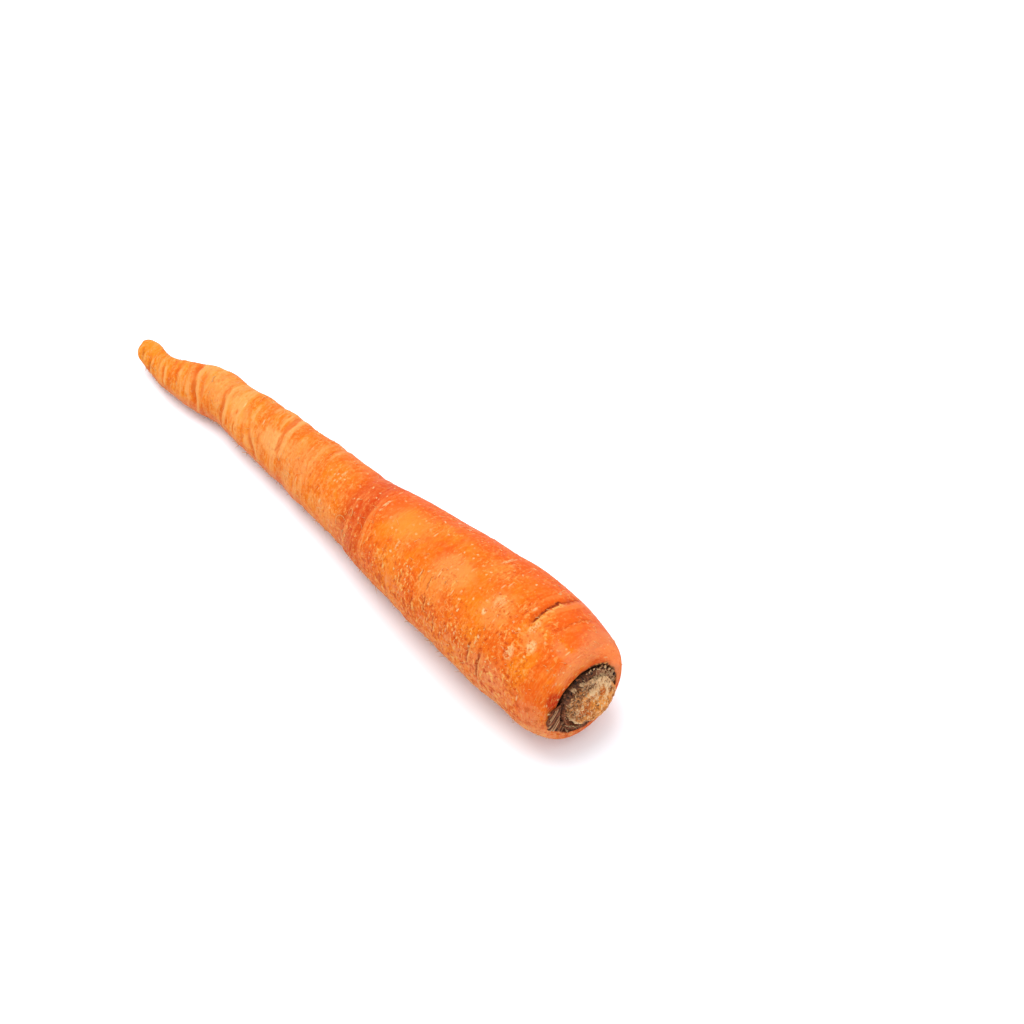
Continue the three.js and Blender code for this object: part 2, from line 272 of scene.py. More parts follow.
def relief(s, angle):
    """How far the skin stands out from the outline: all folds, and three slow waves between them. A
    fold is a bell curve downwards, with a smaller one upwards LIP_AWAY widths along for its lip."""
    height = np.zeros(np.broadcast(s, angle).shape)
    a = np.radians(angle)
    for place, depth, width, middle, reach, lean, lip in all_folds:
        leaning = lean * np.radians(turn_between(angle, middle))
        wander = WANDER * (np.sin(3 * a + place) + 0.6 * np.sin(8 * a + 2 * place))
        across = (s - place - leaning - wander) / width
        bend = lip * np.exp(-((across - LIP_AWAY) ** 2)) - np.exp(-(across**2))
        uneven = 1 + UNEVEN * np.sin(5 * a + 3 * place)
        height += depth * uneven * window(angle, middle, reach) * bend
    height += 0.16 * np.sin(0.115 * s + a + 0.6) + 0.12 * np.sin(0.21 * s - 2 * a + 2.1)
    height += 0.08 * np.sin(0.37 * s + 3 * a + 4.0)
    ends = smooth(0, 6, s) * (1 - smooth(SHOULDER + 12, SKIN_LENGTH, s))
    return height * ends * (1 - lying_part(s, angle))


print("relief in the crease of the shoulder, mm:", np.round(relief(np.array([193.9]), 78), 2))

# %% [markdown]
# ## Fine relief
#
# Fine wrinkles run round the root, deepest where it is thin, and the thin half is also puffed up
# between its folds, like a row of soft cushions. Both are noise that is short along the root and long
# round it. A bump texture could fake them, but the carrot's edge against the floor would stay clean.

# %% Wrinkles and puffs
def wrinkles(s, angle):
    """Fine ridges round the root: noise that is short along the root and long round it, folded at its
    middle height so that it makes sharp lines, and gathered in patches."""
    sway = 1.6 * soft_noise(s, angle, 9, 9, 3) + 0.5 * soft_noise(s, angle, 3, 24, 4)
    fine = soft_noise(s + sway, angle, 1.25, 7, 11)
    finer = soft_noise(s + sway, angle, 0.8, 13, 12)
    lines = (1 - np.abs(2 * fine - 1)) ** 3 + 0.6 * (1 - np.abs(2 * finer - 1)) ** 3
    patches = smooth(0.25, 0.75, soft_noise(s, angle, 13, 7, 13))
    thin_end = 0.35 + 0.65 * (1 - smooth(85, 150, s))
    return lines * (0.25 + 0.75 * patches) * thin_end


def puffs(s, angle):
    """Soft swellings between the folds, strongest on the thin half."""
    coarse = soft_noise(s, angle, 6.5, 5, 21) + 0.5 * soft_noise(s, angle, 3.2, 9, 22)
    return (coarse - 0.75) * (0.3 + 0.7 * (1 - smooth(70, 130, s)))


all_round = np.arange(0, 360, 4.0)
print("mean puff at 40 mm:", round(float(np.abs(puffs(40 + 0 * all_round, all_round)).mean()), 2))

# %% [markdown]
# ## Root scars and the tip
#
# Small scars, each a short dent across the root with a raised rim, mark where side roots grew. With
# the wrinkles and puffs they are a few tenths of a millimetre high, so the carrot keeps the form that
# the packed model gives it. The blunt tip also has a corner on its far side, which stands out further.

# %% Scars, the tip's corner and the fine relief
SCARS = 190
TIP_CORNER = 0.7
TIP_CORNER_ANGLE = 45
TIP_CORNER_REACH = 50


def scars(s, angle):
    """Short dents across the root, each with a raised rim, at drawn places. A dent is a bell curve that
    is wide round the root and narrow along it."""
    k = np.arange(SCARS)
    places = 6 + 200 * draw(k + 401)
    angles = 360 * draw(k + 501)
    lengths = 0.6 + 1.5 * draw(k + 601) ** 2
    widths = 0.28 + 0.25 * draw(k + 701)
    depths = 0.1 + 0.22 * draw(k + 801)
    dents = np.zeros(np.broadcast(s, angle).shape)
    for place, middle, length, width, depth in zip(places, angles, lengths, widths, depths):
        round_mm = np.radians(turn_between(angle, middle)) * curve(RADII, place)
        across = (s - place) / width
        near = np.exp(-((round_mm / length) ** 2))
        dents += depth * near * (0.5 * np.exp(-((np.abs(across) - 1.5) ** 2)) - np.exp(-(across**2)))
    return dents


def tip_corner(s, angle):
    """The blunt tip is a little square: it stands out on its far side, and that dies out along it."""
    round_it = window(angle, TIP_CORNER_ANGLE, TIP_CORNER_REACH)
    return TIP_CORNER * round_it * smooth(0, 1, s) * (1 - smooth(4, 11, s))


def fine_relief(s, angle):
    """Wrinkles, puffs, scars and a slow unevenness, in millimetres, fading at both ends, and the tip's
    corner."""
    height = 0.11 * wrinkles(s, angle) + 0.5 * puffs(s, angle) + scars(s, angle)
    height += 0.22 * (soft_noise(s, angle, 14, 6, 31) - 0.5)
    ends = smooth(0, 5, s) * (1 - smooth(SKIN_LENGTH - 5, SKIN_LENGTH, s))
    return height * ends * (1 - lying_part(s, angle)) + tip_corner(s, angle)


print("root scars:", SCARS)

# %% [markdown]
# ## From heights to a mesh
#
# A skin that closes on itself is a grid: places along the carrot one way, angles round it the other,
# and one point at each end. One function turns any number of such grids into one mesh, so it makes
# the taproot, the stalk remains and every hair. The corners of all faces are worked out as whole
# arrays, which is far quicker than adding faces one at a time.

# %% Closed grids
def closed_grids(rings, first, last):
    """Corners and faces of n closed skins. rings is n x rows x sides x 3, and first and last are the
    n x 3 points that close the two ends. Faces join each ring to the next."""
    n, rows, sides, _ = rings.shape
    points = np.concatenate([first[:, None], rings.reshape(n, rows * sides, 3), last[:, None]], axis=1)
    side = np.arange(sides)
    other = (side + 1) % sides
    row = 1 + sides * np.arange(rows - 1)[:, None]
    quads = np.stack([row + side, row + other, row + sides + other, row + sides + side], axis=-1)
    end = 1 + rows * sides
    rim = end - sides
    start_fan = np.stack([0 * side, 1 + other, 1 + side], axis=-1)
    end_fan = np.stack([0 * side + end, rim + side, rim + other], axis=-1)
    shift = (end + 1) * np.arange(n)[:, None, None]
    quads = (quads.reshape(1, -1, 4) + shift).reshape(-1, 4)
    fans = (np.concatenate([start_fan, end_fan])[None] + shift).reshape(-1, 3)
    return points.reshape(-1, 3), quads, fans


tiny = closed_grids(np.zeros((2, 3, 4, 3)), np.zeros((2, 3)), np.zeros((2, 3)))
print("two skins of 3 rings of 4, corners, four- and three-sided faces:", [len(part) for part in tiny])

# %% [markdown]
# ## From a grid to an object
#
# `from_pydata` takes Python lists, which is slow for a hundred thousand corners. `foreach_set` copies
# a whole numpy array into the mesh at once: first the corners' places, then the list of corners round
# each face and where each face starts in it. Attributes, which materials read, are filled the same way.

# %% A new piece
def new_piece(name, rings, first, last, values=None):
    """A smooth-shaded mesh object from closed grids in millimetres of the carrot's own frame, with one
    attribute for each named array of values, which has one number or vector for each corner."""
    points, quads, fans = closed_grids(rings, first, last)
    mesh = bpy.data.meshes.new(name)
    mesh.vertices.add(len(points))
    mesh.vertices.foreach_set("co", ((points + shift_mm) * MM).ravel())
    corners = np.concatenate([quads.ravel(), fans.ravel()])
    starts = np.concatenate([4 * np.arange(len(quads)), 4 * len(quads) + 3 * np.arange(len(fans))])
    mesh.loops.add(len(corners))
    mesh.loops.foreach_set("vertex_index", corners)
    mesh.polygons.add(len(starts))
    mesh.polygons.foreach_set("loop_start", starts)
    mesh.polygons.foreach_set("use_smooth", np.ones(len(starts), bool))
    mesh.update(calc_edges=True)
    mesh.validate()
    for key, array in (values or {}).items():
        vector = array.ndim == 2
        layer = mesh.attributes.new(key, "FLOAT_VECTOR" if vector else "FLOAT", "POINT")
        layer.data.foreach_set("vector" if vector else "value", array.astype(np.float32).ravel())
    piece = bpy.data.objects.new(name, mesh)
    bpy.context.scene.collection.objects.link(piece)
    print(name, "triangles:", 2 * len(quads) + len(fans))
    return piece


print("meshes before the first new piece:", len(bpy.data.meshes))

# %% [markdown]
# ## The taproot's skin
#
# Now the heights are laid on the outline. A height is added square to the surface, not straight out
# from the middle, so that folds on the rounded shoulder don't smear. A Displace modifier does that too,
# but it can't stop at the table: here no point goes below it, which presses the carrot's flat spot.

# %% Points of the skin and of the crown
OVAL = 0.012
OVAL_ANGLE = 1.2


def skin_point(s, angle, height):
    """A point of the skin: the outline at s, leaned with the growth rings, moved out by the height
    square to the outline, bent along the bends, and never below the table."""
    a = np.radians(angle)
    leaned = s - curve(SLANTS, s) * np.cos(a) * smooth(0, 8, s)
    along, radius = outline(leaned)
    ahead, radius_ahead = outline(leaned + 0.01)
    climb = np.arctan2(radius_ahead - radius, ahead - along)
    x = along - height * np.sin(climb)
    r = radius * (1 + OVAL * np.cos(2 * (a - OVAL_ANGLE))) + height * np.cos(climb)
    y = curve(BENDS, x) + r * np.cos(a)
    z = middle_height(x) + r * np.sin(a)
    return np.stack([x, y, np.maximum(z, 0)], axis=-1)


def crown_point(along, radius, angle):
    """A point near the crown's face: so far along, and so far out from the middle of the crown."""
    a = np.radians(angle)
    shape = np.broadcast(along, radius, a).shape
    y = crown_y + radius * np.cos(a)
    z = crown_z + radius * np.sin(a)
    return np.stack([np.broadcast_to(v, shape) for v in (along, y, z)], axis=-1)


print("crown's face at its middle, mm:", np.round(crown_point(LIP_PLACE, 0.0, 0.0), 2))

# %% [markdown]
# ## The grid of the skin
#
# The rows are closer together towards the thin end, where the wrinkles are finest. A corner every 0.3
# to 0.5 mm along, and at most every 0.7 mm round, is enough for the wrinkles to show at the carrot's
# edge. What is finer is left to bump in the material.

# %% The grid of the skin
ROWS = 520
SIDES = 184


def spread_rows():
    """Places of the rows: closer together towards the thin end, where the wrinkles are finest."""
    share = np.linspace(0, 1, ROWS)
    even = 0.8 * share + 0.2 * share**2
    places = SKIN_LENGTH * even
    places[0] = 0.02
    return places


rows = spread_rows()[:, None]
angles = (360 * np.arange(SIDES) / SIDES)[None, :]
heights = relief(rows, angles) + fine_relief(rows, angles)
skin = skin_point(rows, angles, heights)
print("rows and sides:", skin.shape[:2], " relief, mm:", np.round([heights.min(), heights.max()], 2))

# %% [markdown]
# ## The hollow of the crown
#
# The leaf stalks grew from a shallow hollow in the end of the root. Its lip is round and a little
# ragged, and its floor is hidden under the dried stalks. It goes on from the last ring of the skin, so
# the taproot stays one closed skin with no hole to fill.

# %% The hollow of the crown
HOLLOW_ROWS = 14
SOCKET_DEPTH = 1.5
SOCKET_RADIUS = 10.2
LIP_START = 0.25


def hollow_rings():
    """Rings from the lip down into the crown's hollow: a quarter turn over the lip, then the floor."""
    turn = np.linspace(LIP_START, 1, HOLLOW_ROWS)[:, None] * np.pi / 2
    ragged = 0.7 * (soft_noise(0 * angles, angles, 1, 17, 41) - 0.5)
    ragged = ragged + 0.4 * (soft_noise(0 * angles, angles, 1, 41, 42) - 0.5)
    radius = SOCKET_RADIUS + ragged + (LIP_RADIUS - SOCKET_RADIUS - ragged) * np.cos(turn)
    turned = turn - LIP_START * np.pi / 2 * np.cos(turn)
    along = LIP_PLACE - SOCKET_DEPTH * (1 - np.cos(turned))
    return crown_point(along, radius, angles)


lip = hollow_rings()
floor_ring = crown_point(LIP_PLACE - SOCKET_DEPTH, SOCKET_RADIUS / 2, angles)
rings = np.concatenate([skin, lip, floor_ring.reshape(1, SIDES, 3)])
tip_end = np.array([[0, BENDS[0][1], middle_height(0)]])
crown_end = np.array([[LIP_PLACE - SOCKET_DEPTH, crown_y, crown_z]])
print("rings of the taproot:", len(rings))

# %% [markdown]
# ## Into the packed model's frame
#
# So far the tip is at X 0 and the middle line wanders about Y 0. The packed model was centred in its
# own frame after it was made, so its taproot's box tells how far to shift. The shift is added to every
# corner, and not to the object, because a finished piece's object sits at the origin.

# %% Into the packed model's frame
def box_shift():
    """How far the packed model's frame is from the carrot's own: the tip is its lowest X, the table is
    its Z 0, and the middle of its width is the middle of the taproot's box."""
    low_y = skin[..., 1].min()
    high_y = skin[..., 1].max()
    return np.array([taproot_low[0], (taproot_low[1] + taproot_high[1] - low_y - high_y) / 2, 0])


shift_mm = box_shift()
print("shift to the frame, mm:", np.round(shift_mm, 2))

# %% [markdown]
# ## What each corner remembers for the colours
#
# A material could find a groove by itself, with the Pointiness of the Geometry node, but that only
# compares a corner with its neighbours. So three things are kept with each corner as attributes:
# `crest`, how far it is in a groove or on a crest; `skin`, where it is on a straightened carrot, so
# that strokes follow the growth rings; and `hollow`, how much of the crown's brown stain is on it.

# %% What each corner remembers
def blurred(grid, along, around):
    """The mean of a grid over a window of rows and sides, wrapping round the carrot."""
    total = sum(np.roll(grid, k, axis=1) for k in range(-around, around + 1))
    total = total / (2 * around + 1)
    padded = np.pad(total, ((along, along), (0, 0)), mode="edge")
    running = np.cumsum(np.pad(padded, ((1, 0), (0, 0))), axis=0)
    width = 2 * along + 1
    return (running[width:] - running[:-width]) / width


CREST_HEIGHT = 0.25
HOLLOW_CREST = -0.3
crests = np.clip((heights - blurred(heights, 5, 3)) / CREST_HEIGHT, -1, 1)


def per_corner(grid, lip_value):
    """A grid of the skin's values as one list for all corners, with one value for the hollow."""
    rest = np.full((HOLLOW_ROWS + 1) * SIDES, lip_value)
    return np.concatenate([[grid[0, 0]], grid.ravel(), rest, [lip_value]])


def straightened():
    """Each corner's place on a straight carrot: along by the growth rings, and out by the radius."""
    a = np.radians(angles)
    radius = outline(rows)[1] + heights
    body = np.stack([rows + 0 * a, radius * np.cos(a), radius * np.sin(a)], axis=-1)
    inner = rings[ROWS:] - np.array([0, crown_y, crown_z])
    inner[..., 0] = SKIN_LENGTH + (LIP_PLACE - inner[..., 0])
    flat = np.concatenate([body, inner]).reshape(-1, 3)
    return np.concatenate([[[0, 0, 0]], flat, [[SKIN_LENGTH + SOCKET_DEPTH, 0, 0]]])


# the stain stops at a ragged edge near the lip
stain_edge = SKIN_LENGTH - 0.1 + 1.1 * (soft_noise(rows, angles, 1.3, 44, 43) - 0.5)
skin_values = {
    "skin": straightened(),
    "crest": per_corner(crests, HOLLOW_CREST),
    "hollow": per_corner(smooth(stain_edge - 0.3, stain_edge + 0.3, rows), 1.0),
}
print("kept with each corner:", ", ".join(skin_values))

# The packed taproot is hidden from now on.

# %% The taproot takes its place
taproot = new_piece("taproot_skin", rings[None], tip_end, crown_end, skin_values)
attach(taproot, "root")
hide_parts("taproot")

# %% [markdown]
# ## The collar of stalk bases
#
# When the leaves are twisted off, the bases of their stalks stay packed in the hollow of the crown and
# dry to dark, papery scales. They differ all the way round: a tongue of them lies over the lip on one
# side, the knob in the middle hangs over them on another, and they are black where they are damp and
# tan on a third side, where painted light also lifts them against the shade of the hollow. Each of
# these sides is a function of the angle, from 0 to 1.

# %% The sides of the collar
GAP = 0.3
COLLAR_FLOOR = LIP_PLACE - SOCKET_DEPTH + GAP
COLLAR_RADIUS = 9.75
# the collar's edge at each angle, which reaches over the lip along the tongue
TONGUE_EDGE = [
    [144, 9.75], [154, 10.1], [160, 11.8], [165, 13.3], [178, 13.6], [190, 13.4], [201, 11.7],
    [211, 10.7], [220, 9.9], [230, 9.75],
]
# each side: its middle angle and its reach in degrees
OVERHANG_SIDE = (318, 42)
KNOB_RUN_SIDE = (165, 95)
BLACK_SIDE = (118, 52)
# the tan side, which is also lightened as painted light against the hollow's shade
TAN_LIT_SIDE = (25, 55)


def tongue(angle):
    """How much of the tongue stands over the lip at an angle, from 0 to 1."""
    return smooth(0.1, 1.4, curve(TONGUE_EDGE, angle) - COLLAR_RADIUS)


def near_knob(angle, radius):
    """The side of the collar where packed stalk bases run on into the knob, from 0 to 1."""
    return window(angle, *KNOB_RUN_SIDE) * smooth(9.6, 8.7, radius)


def overhang(angle):
    """How much of the knob's overhang there is at an angle, from 0 to 1."""
    return window(angle, *OVERHANG_SIDE)


def light_side(angle):
    """The collar is black on one side only; this is 1 away from there."""
    return 1 - window(angle, *BLACK_SIDE)


def tan_lit_side(angle):
    """The tan side of the collar, from 0 to 1, which is also lightened as painted light against the
    hollow's shade.
    """
    return window(angle, *TAN_LIT_SIDE)


print("tongue at 150, 165 and 210 degrees:", np.round(tongue(np.array([150, 165, 210])), 2))

# %% [markdown]
# ## What the collar lies on, and what it is made of
#
# The collar's underside follows the hollow, the lip and the shoulder, a little clear of them, so that
# nothing cuts into the taproot. Its top is noise that is short round the crown and long outwards, which
# looks like fibres. The scales overlap like roof tiles, which is a saw edge: it climbs slowly round the
# crown and drops at once where the next scale starts.

# %% Underside, fibres and scales
SCALES = 13


def collar_underside(radius):
    """Where the collar's underside lies at a radius: just clear of hollow, lip or shoulder."""
    over_lip = COLLAR_FLOOR + SOCKET_DEPTH * smooth(9.4, 10.3, radius)
    widest = RADII[-1][1]
    fall = np.clip((radius - LIP_RADIUS) / (widest - LIP_RADIUS), 0, 1) ** (1 / SHOULDER_FALL)
    rise = np.sqrt(1 - fall**2) ** SHOULDER_RISE
    shoulder = SHOULDER + (LIP_PLACE - SHOULDER) * rise + GAP
    return np.where(radius <= LIP_RADIUS, over_lip, shoulder)


def fibres(angle, radius, seed):
    """Heights from 0 to 1 of fibres that run out from the middle: noise that is short round the crown
    and long outwards, with thin fibres on thick ones."""
    bent = angle + 9 * soft_noise(radius, angle, 2.5, 20, seed)
    thick = soft_noise(radius, bent, 3.5, 70, seed + 1)
    thin = soft_noise(radius, angle, 2.2, 150, seed + 2)
    return 0.65 * thick + 0.35 * thin


def scale_steps(angle, radius, seed):
    """Overlapping scales: a saw edge round the crown, shifted by noise, that drops at each edge."""
    wander = 0.5 * soft_noise(radius, angle, 1.6, 11, seed)
    return (angle / 360 * SCALES + 0.12 * radius + wander) % 1


at_lip_and_tongue = collar_underside(np.array([10.5, 13]))
print("underside at the lip and on the tongue, mm:", np.round(at_lip_and_tongue, 2))

# %% [markdown]
# ## The top of the collar
#
# In the hollow, the top is a bowl of scales that is pressed down where the knob hangs over it. On the
# tongue it is a thin, striped sheet that lies on the skin and thins out to its edge. Each has its own
# formula, and `share` blends the one into the other across the lip.

# %% The top of the collar
def collar_top(angle, radius, edge):
    """The upper skin: a bowl of scales in the hollow, and a thin striped tongue over the lip."""
    steps = scale_steps(angle, radius, 61)
    crumbs = soft_noise(radius, angle, 0.55, 90, 63)
    bowl = 0.55 + 1.0 * smooth(7.8, 8.6, radius) - 0.25 * smooth(9.7, 10.2, radius)
    bowl = bowl + 0.55 * near_knob(angle, radius)
    rough = 0.5 * steps + 0.5 * fibres(angle, radius, 65) + 0.5 * (crumbs - 0.5)
    scales = COLLAR_FLOOR + (bowl + rough) * (1 - 0.55 * overhang(angle)) - 0.1 * overhang(angle)
    thin = 0.2 + 0.3 * smooth(edge, edge - 2.5, radius)
    striped = 0.4 * fibres(angle, radius, 71) * smooth(edge, edge - 1, radius)
    lying = collar_underside(radius) + thin + striped
    share = tongue(angle) * smooth(8.6, 9.8, radius)
    return scales * (1 - share) + lying * share


top_here = collar_top(np.array([30.0, 180.0]), np.array([8.0, 12.0]), np.array([9.75, 13.6]))
print("top in the bowl and on the tongue, mm:", np.round(top_here, 2))

# %% [markdown]
# ## The bed of the collar
#
# The bed is one closed skin in rings round the crown: out along the underside to a ragged edge, and
# back over the top to the middle, under the knob. As one row of rings it closes by itself, so no rim
# is left open. A side is about 0.13 mm wide, because fibres are finer than wrinkles.

# %% The rings of the bed
STALK_SIDES = 480
bed_angles = (360 * np.arange(STALK_SIDES) / STALK_SIDES)[None, :]
BED_START = 5.0
BED_UNDER_FROM = 9.0
BED_TOP_TO = 6.4
UNDER_SHARES = [0.35, 0.7, 0.95]
TOP_ROWS = 52


def bed_edge():
    """How far out the collar's edge is at each angle, torn coarsely, but finely on the tongue."""
    torn = soft_noise(0 * bed_angles, bed_angles, 1, 60, 73) - 0.4
    edge = curve(TONGUE_EDGE, bed_angles) + 0.5 * torn * tongue(bed_angles)
    return edge + 0.3 * (soft_noise(0 * bed_angles, bed_angles, 1, 24, 74) - 0.4)


edge = bed_edge()
under_radius = BED_UNDER_FROM + (edge - BED_UNDER_FROM) * np.array(UNDER_SHARES)[:, None]
back = np.linspace(1, 0, TOP_ROWS)[:, None] ** 1.15
top_radius = BED_TOP_TO + (edge - BED_TOP_TO) * back
top_along = collar_top(bed_angles, top_radius, edge)
bed_rings = np.concatenate([
    crown_point(COLLAR_FLOOR, BED_START, bed_angles).reshape(1, -1, 3),
    crown_point(collar_underside(under_radius), under_radius, bed_angles),
    crown_point(top_along, top_radius, bed_angles),
])
bed_radius = np.concatenate([0 * bed_angles + BED_START, under_radius, top_radius])
print("edge of the bed from the middle, mm:", np.round([edge.min(), edge.max()], 2))

# %% [markdown]
# ## What the bed remembers for the colours
#
# Dead stalk is striped along its fibres. So `grain` keeps a place for the stripes that is squeezed
# outwards and round, `crest` says how far a corner stands up from the scales about it, and `pale` says
# where the stalk is brown and dry and not black.

# %% The bed takes its place
BED_CREST_HEIGHT = 0.3


def bed_grain():
    """Where the stripes are read: slow outwards, and quick round the crown."""
    a = np.radians(bed_angles)
    still = 0 * bed_radius
    return np.stack([0.12 * bed_radius, 9.5 * np.cos(a) + still, 9.5 * np.sin(a) + still], axis=-1)


def bed_pale():
    """How brown and dry the top is: the tongue, the stalk that runs on into the knob, and a little
    everywhere but on the black side."""
    by_knob = near_knob(bed_angles, top_radius) * (0.25 + 0.75 * light_side(bed_angles))
    brown = np.maximum(tongue(bed_angles) * smooth(8.8, 9.8, top_radius), by_knob)
    return np.maximum(brown, 0.7 * light_side(bed_angles))


def with_ends(grid):
    """A grid's values as one list for all corners, the end points taking the nearest row's first."""
    flat = grid.reshape(-1, grid.shape[-1]) if grid.ndim == 3 else grid.ravel()
    return np.concatenate([flat[:1], flat, flat[-1:]])


# the bed's crest is its relief: its hollows get painted shade and its ridges painted highlight, and the
# tan side is lifted as painted light
top_crest = top_along - blurred(top_along, 2, 3) + 0.25 * tan_lit_side(bed_angles)
plain_rows = np.zeros((1 + len(UNDER_SHARES), STALK_SIDES))
bed_values = {
    "grain": with_ends(bed_grain()),
    "crest": with_ends(np.concatenate([plain_rows, top_crest]) / BED_CREST_HEIGHT),
    "pale": with_ends(np.concatenate([plain_rows, bed_pale()])),
}
bed_first = crown_point(COLLAR_FLOOR, 0.0, 0.0)[None]
bed_last = crown_point(COLLAR_FLOOR + 0.6, 0.0, 0.0)[None]
collar = new_piece("stalk_collar_bed", bed_rings[None], bed_first, bed_last, bed_values)
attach(collar, "root")
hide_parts("stalk_collar")

# %% [markdown]
# ## Loose flakes
#
# Some of the papery scales stand up from the bed, torn across and curled. Each is a thin blade: a
# strip that stands on the bed, leans in or out, and narrows to a torn edge. Front and back are one
# closed loop of points, so that a blade has real thickness and no open rim. All blades are worked out
# in one go, as an array of flake by row by point.

# %% The shape of the flakes
FLAKES = 54
FLAKE_ROWS = 7
FLAKE_ACROSS = 9


def flake_rings():
    """Rings of every flake at once, and what its corners remember. Up the flake, the radius leans and
    curls; across it, the points go along the front and back along the rear, with the thickness
    between them."""
    k = np.arange(FLAKES)[:, None, None]
    middle = (360 * (k + 0.8 * draw(k + 11)) / FLAKES + 352) % 360
    root = 8.7 + 1.5 * draw(k + 61)
    width = 1.1 + 2.0 * draw(k + 111)
    tall = (1.1 + 1.3 * draw(k + 161)) * (1 - 0.8 * overhang(middle)) * (1 - 0.4 * tongue(middle))
    lean = -0.9 + 1.1 * draw(k + 211)
    curl = 0.8 * (draw(k + 261) - 0.4)
    twist = 50 * (draw(k + 361) - 0.5)
    up = np.linspace(0, 1, FLAKE_ROWS)[None, :, None]
    front = np.linspace(-0.5, 0.5, FLAKE_ACROSS)
    across = np.concatenate([front, front[::-1]])[None, None, :]
    side = np.concatenate([np.ones(FLAKE_ACROSS), -np.ones(FLAKE_ACROSS)])[None, None, :]
    torn = cell_draw(np.round(across * 7), k, 5) - 0.5
    narrow = 1 - 0.45 * up**1.5
    around = width * across * narrow
    thickness = 0.13 * (1 - 0.6 * up) * np.sqrt(np.clip(1.02 - (2 * across) ** 2, 0, 1))
    ribs = 0.09 * np.sin(across * 20 + 6 * draw(k + 311)) * (0.4 + 0.6 * up)
    turned = np.radians(twist)
    radius = root + lean * up * tall + curl * up**2 * tall + ribs + side * thickness * np.cos(turned)
    radius = radius - 0.35 * (2 * across) ** 2 * up + around * np.sin(turned)
    rise = COLLAR_FLOOR + 0.6 + up * tall * (1 + 0.7 * torn * up)
    angle = middle + np.degrees(around * np.cos(turned) / root)
    inner = smooth(9.7, 8.9, root)
    kept = (across, up, k, inner, light_side(middle), tan_lit_side(middle))
    return crown_point(rise, radius, angle), [value + 0 * rise for value in kept]


flakes_at, flake_kept = flake_rings()
print("flakes, rows and points round each:", flakes_at.shape[:3])

# %% [markdown]
# ## The colours of the flakes
#
# Every flake bleaches towards its torn edge, and no two dry alike, so its tone is a draw plus how far
# up the corner is. The ones by the knob and on the tan side are the palest, those on the tan side
# partly as painted light against the hollow's shade. The tone goes into `crest`, which the dried
# stalk's material already reads, so bed and flakes share one material.

# %% The flakes take their place
def per_piece(grid):
    """A value of every closed grid of a piece as one list for all corners, ends included."""
    flat = grid.reshape(len(grid), -1)
    return np.concatenate([flat[:, :1], flat, flat[:, -1:]], axis=1).ravel()


def grain_of(slow, across, number):
    """Where a loose bit's stripes are read: a place of its own that runs on slowly along its fibres."""
    return np.stack([per_piece(slow), per_piece(across), per_piece(number)], axis=-1)


flake_across, flake_up, flake_number, flake_inner, flake_light, flake_tan_lit = flake_kept
by_knob = flake_inner * (0.35 + 0.65 * flake_light)
flake_tone = 1.6 * flake_up**1.5 - 1.5 + 2.2 * draw(flake_number + 411) ** 1.5
# painted light: flakes on the tan side lifted against the hollow's shade
flake_tone = flake_tone + 0.6 * by_knob + 0.5 * flake_light + 0.8 * flake_tan_lit
flake_values = {
    "grain": grain_of(0.25 * flake_up, 4 * flake_across, 3.1 * flake_number),
    "crest": per_piece(flake_tone),
    "pale": per_piece(0.3 * flake_up + 0.5 * by_knob + 0.5 * flake_light),
}
flake_first = flakes_at[:, 0].mean(axis=1)
flake_last = flakes_at[:, -1].mean(axis=1)
flakes = new_piece("stalk_flakes", flakes_at, flake_first, flake_last, flake_values)
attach(flakes, "root")

# %% [markdown]
# ## The knob in the middle
#
# The middle of the crown is a low knob of trimmed stalk, dry and crumbly. It leans over the lip on one
# side, a little further than in the packed model, and is trimmed flat on another. It is a dome in
# rings, whose side is drawn as a short profile: straight up at first, then out under the overhang.

# %% The form of the knob
BUTT_RADIUS = 8.2
BUTT_TOP = 216.2
BUTT_EDGE = 1.1
BUTT_BASE = COLLAR_FLOOR + 0.6 + GAP
BUTT_TOP_ROWS = 64
OVERHANG = 2.7
OVERHANG_FROM = LIP_PLACE + 0.5
TRIMMED_ANGLE = 222
# up the side of the knob: height, share of the rim's radius, share of the overhang
BUTT_SIDE = [
    (BUTT_BASE, 0.5, 0), (BUTT_BASE, 0.9, 0), (BUTT_BASE + 0.3, 0.94, 0),
    (OVERHANG_FROM - 0.1, 0.96, 0), (OVERHANG_FROM, 0.97, 0.3), (OVERHANG_FROM + 0.08, 0.98, 0.65),
    (OVERHANG_FROM + 0.2, 0.985, 0.88), (OVERHANG_FROM + 0.4, 0.99, 0.97),
    (OVERHANG_FROM + 0.65, 1.0, 1.0),
]


def butt_rim(angle):
    """The knob's outline: round, a little three-cornered, and trimmed flat on one side."""
    a = np.radians(angle)
    lobes = 0.025 * np.sin(3 * a + 0.7) + 0.03 * np.cos(a - np.radians(330))
    return BUTT_RADIUS * (1 + lobes - 0.1 * window(angle, TRIMMED_ANGLE, 26))


def butt_form():
    """The knob before it crumbles: up its side, out under the overhang, over a rounded rim and in to
    the middle. Gives how far out and how far along each point is, and its share of the way out."""
    rise, share, hang = np.array(BUTT_SIDE).T[:, :, None]
    hanging = OVERHANG * overhang(bed_angles)
    side_radius = butt_rim(bed_angles) * share + hanging * hang
    side_along = rise + 0 * bed_angles
    inward = np.linspace(0, 1, BUTT_TOP_ROWS)[1:-1, None]
    top_share = np.cos(inward * np.pi / 2) ** 0.8
    full = butt_rim(bed_angles) + hanging
    dome = BUTT_TOP - BUTT_EDGE * top_share**3.5
    top_along = dome - 0.35 * smooth(0.93, 1.0, top_share) + 0 * bed_angles
    radius = np.concatenate([side_radius, full * top_share])
    along = np.concatenate([side_along, top_along])
    return radius, along, radius / full


butt_radius, butt_along, butt_share = butt_form()
rim_radius = butt_radius[len(BUTT_SIDE) - 1]
print("knob's rim from the middle, mm:", np.round([rim_radius.min(), rim_radius.max()], 2))

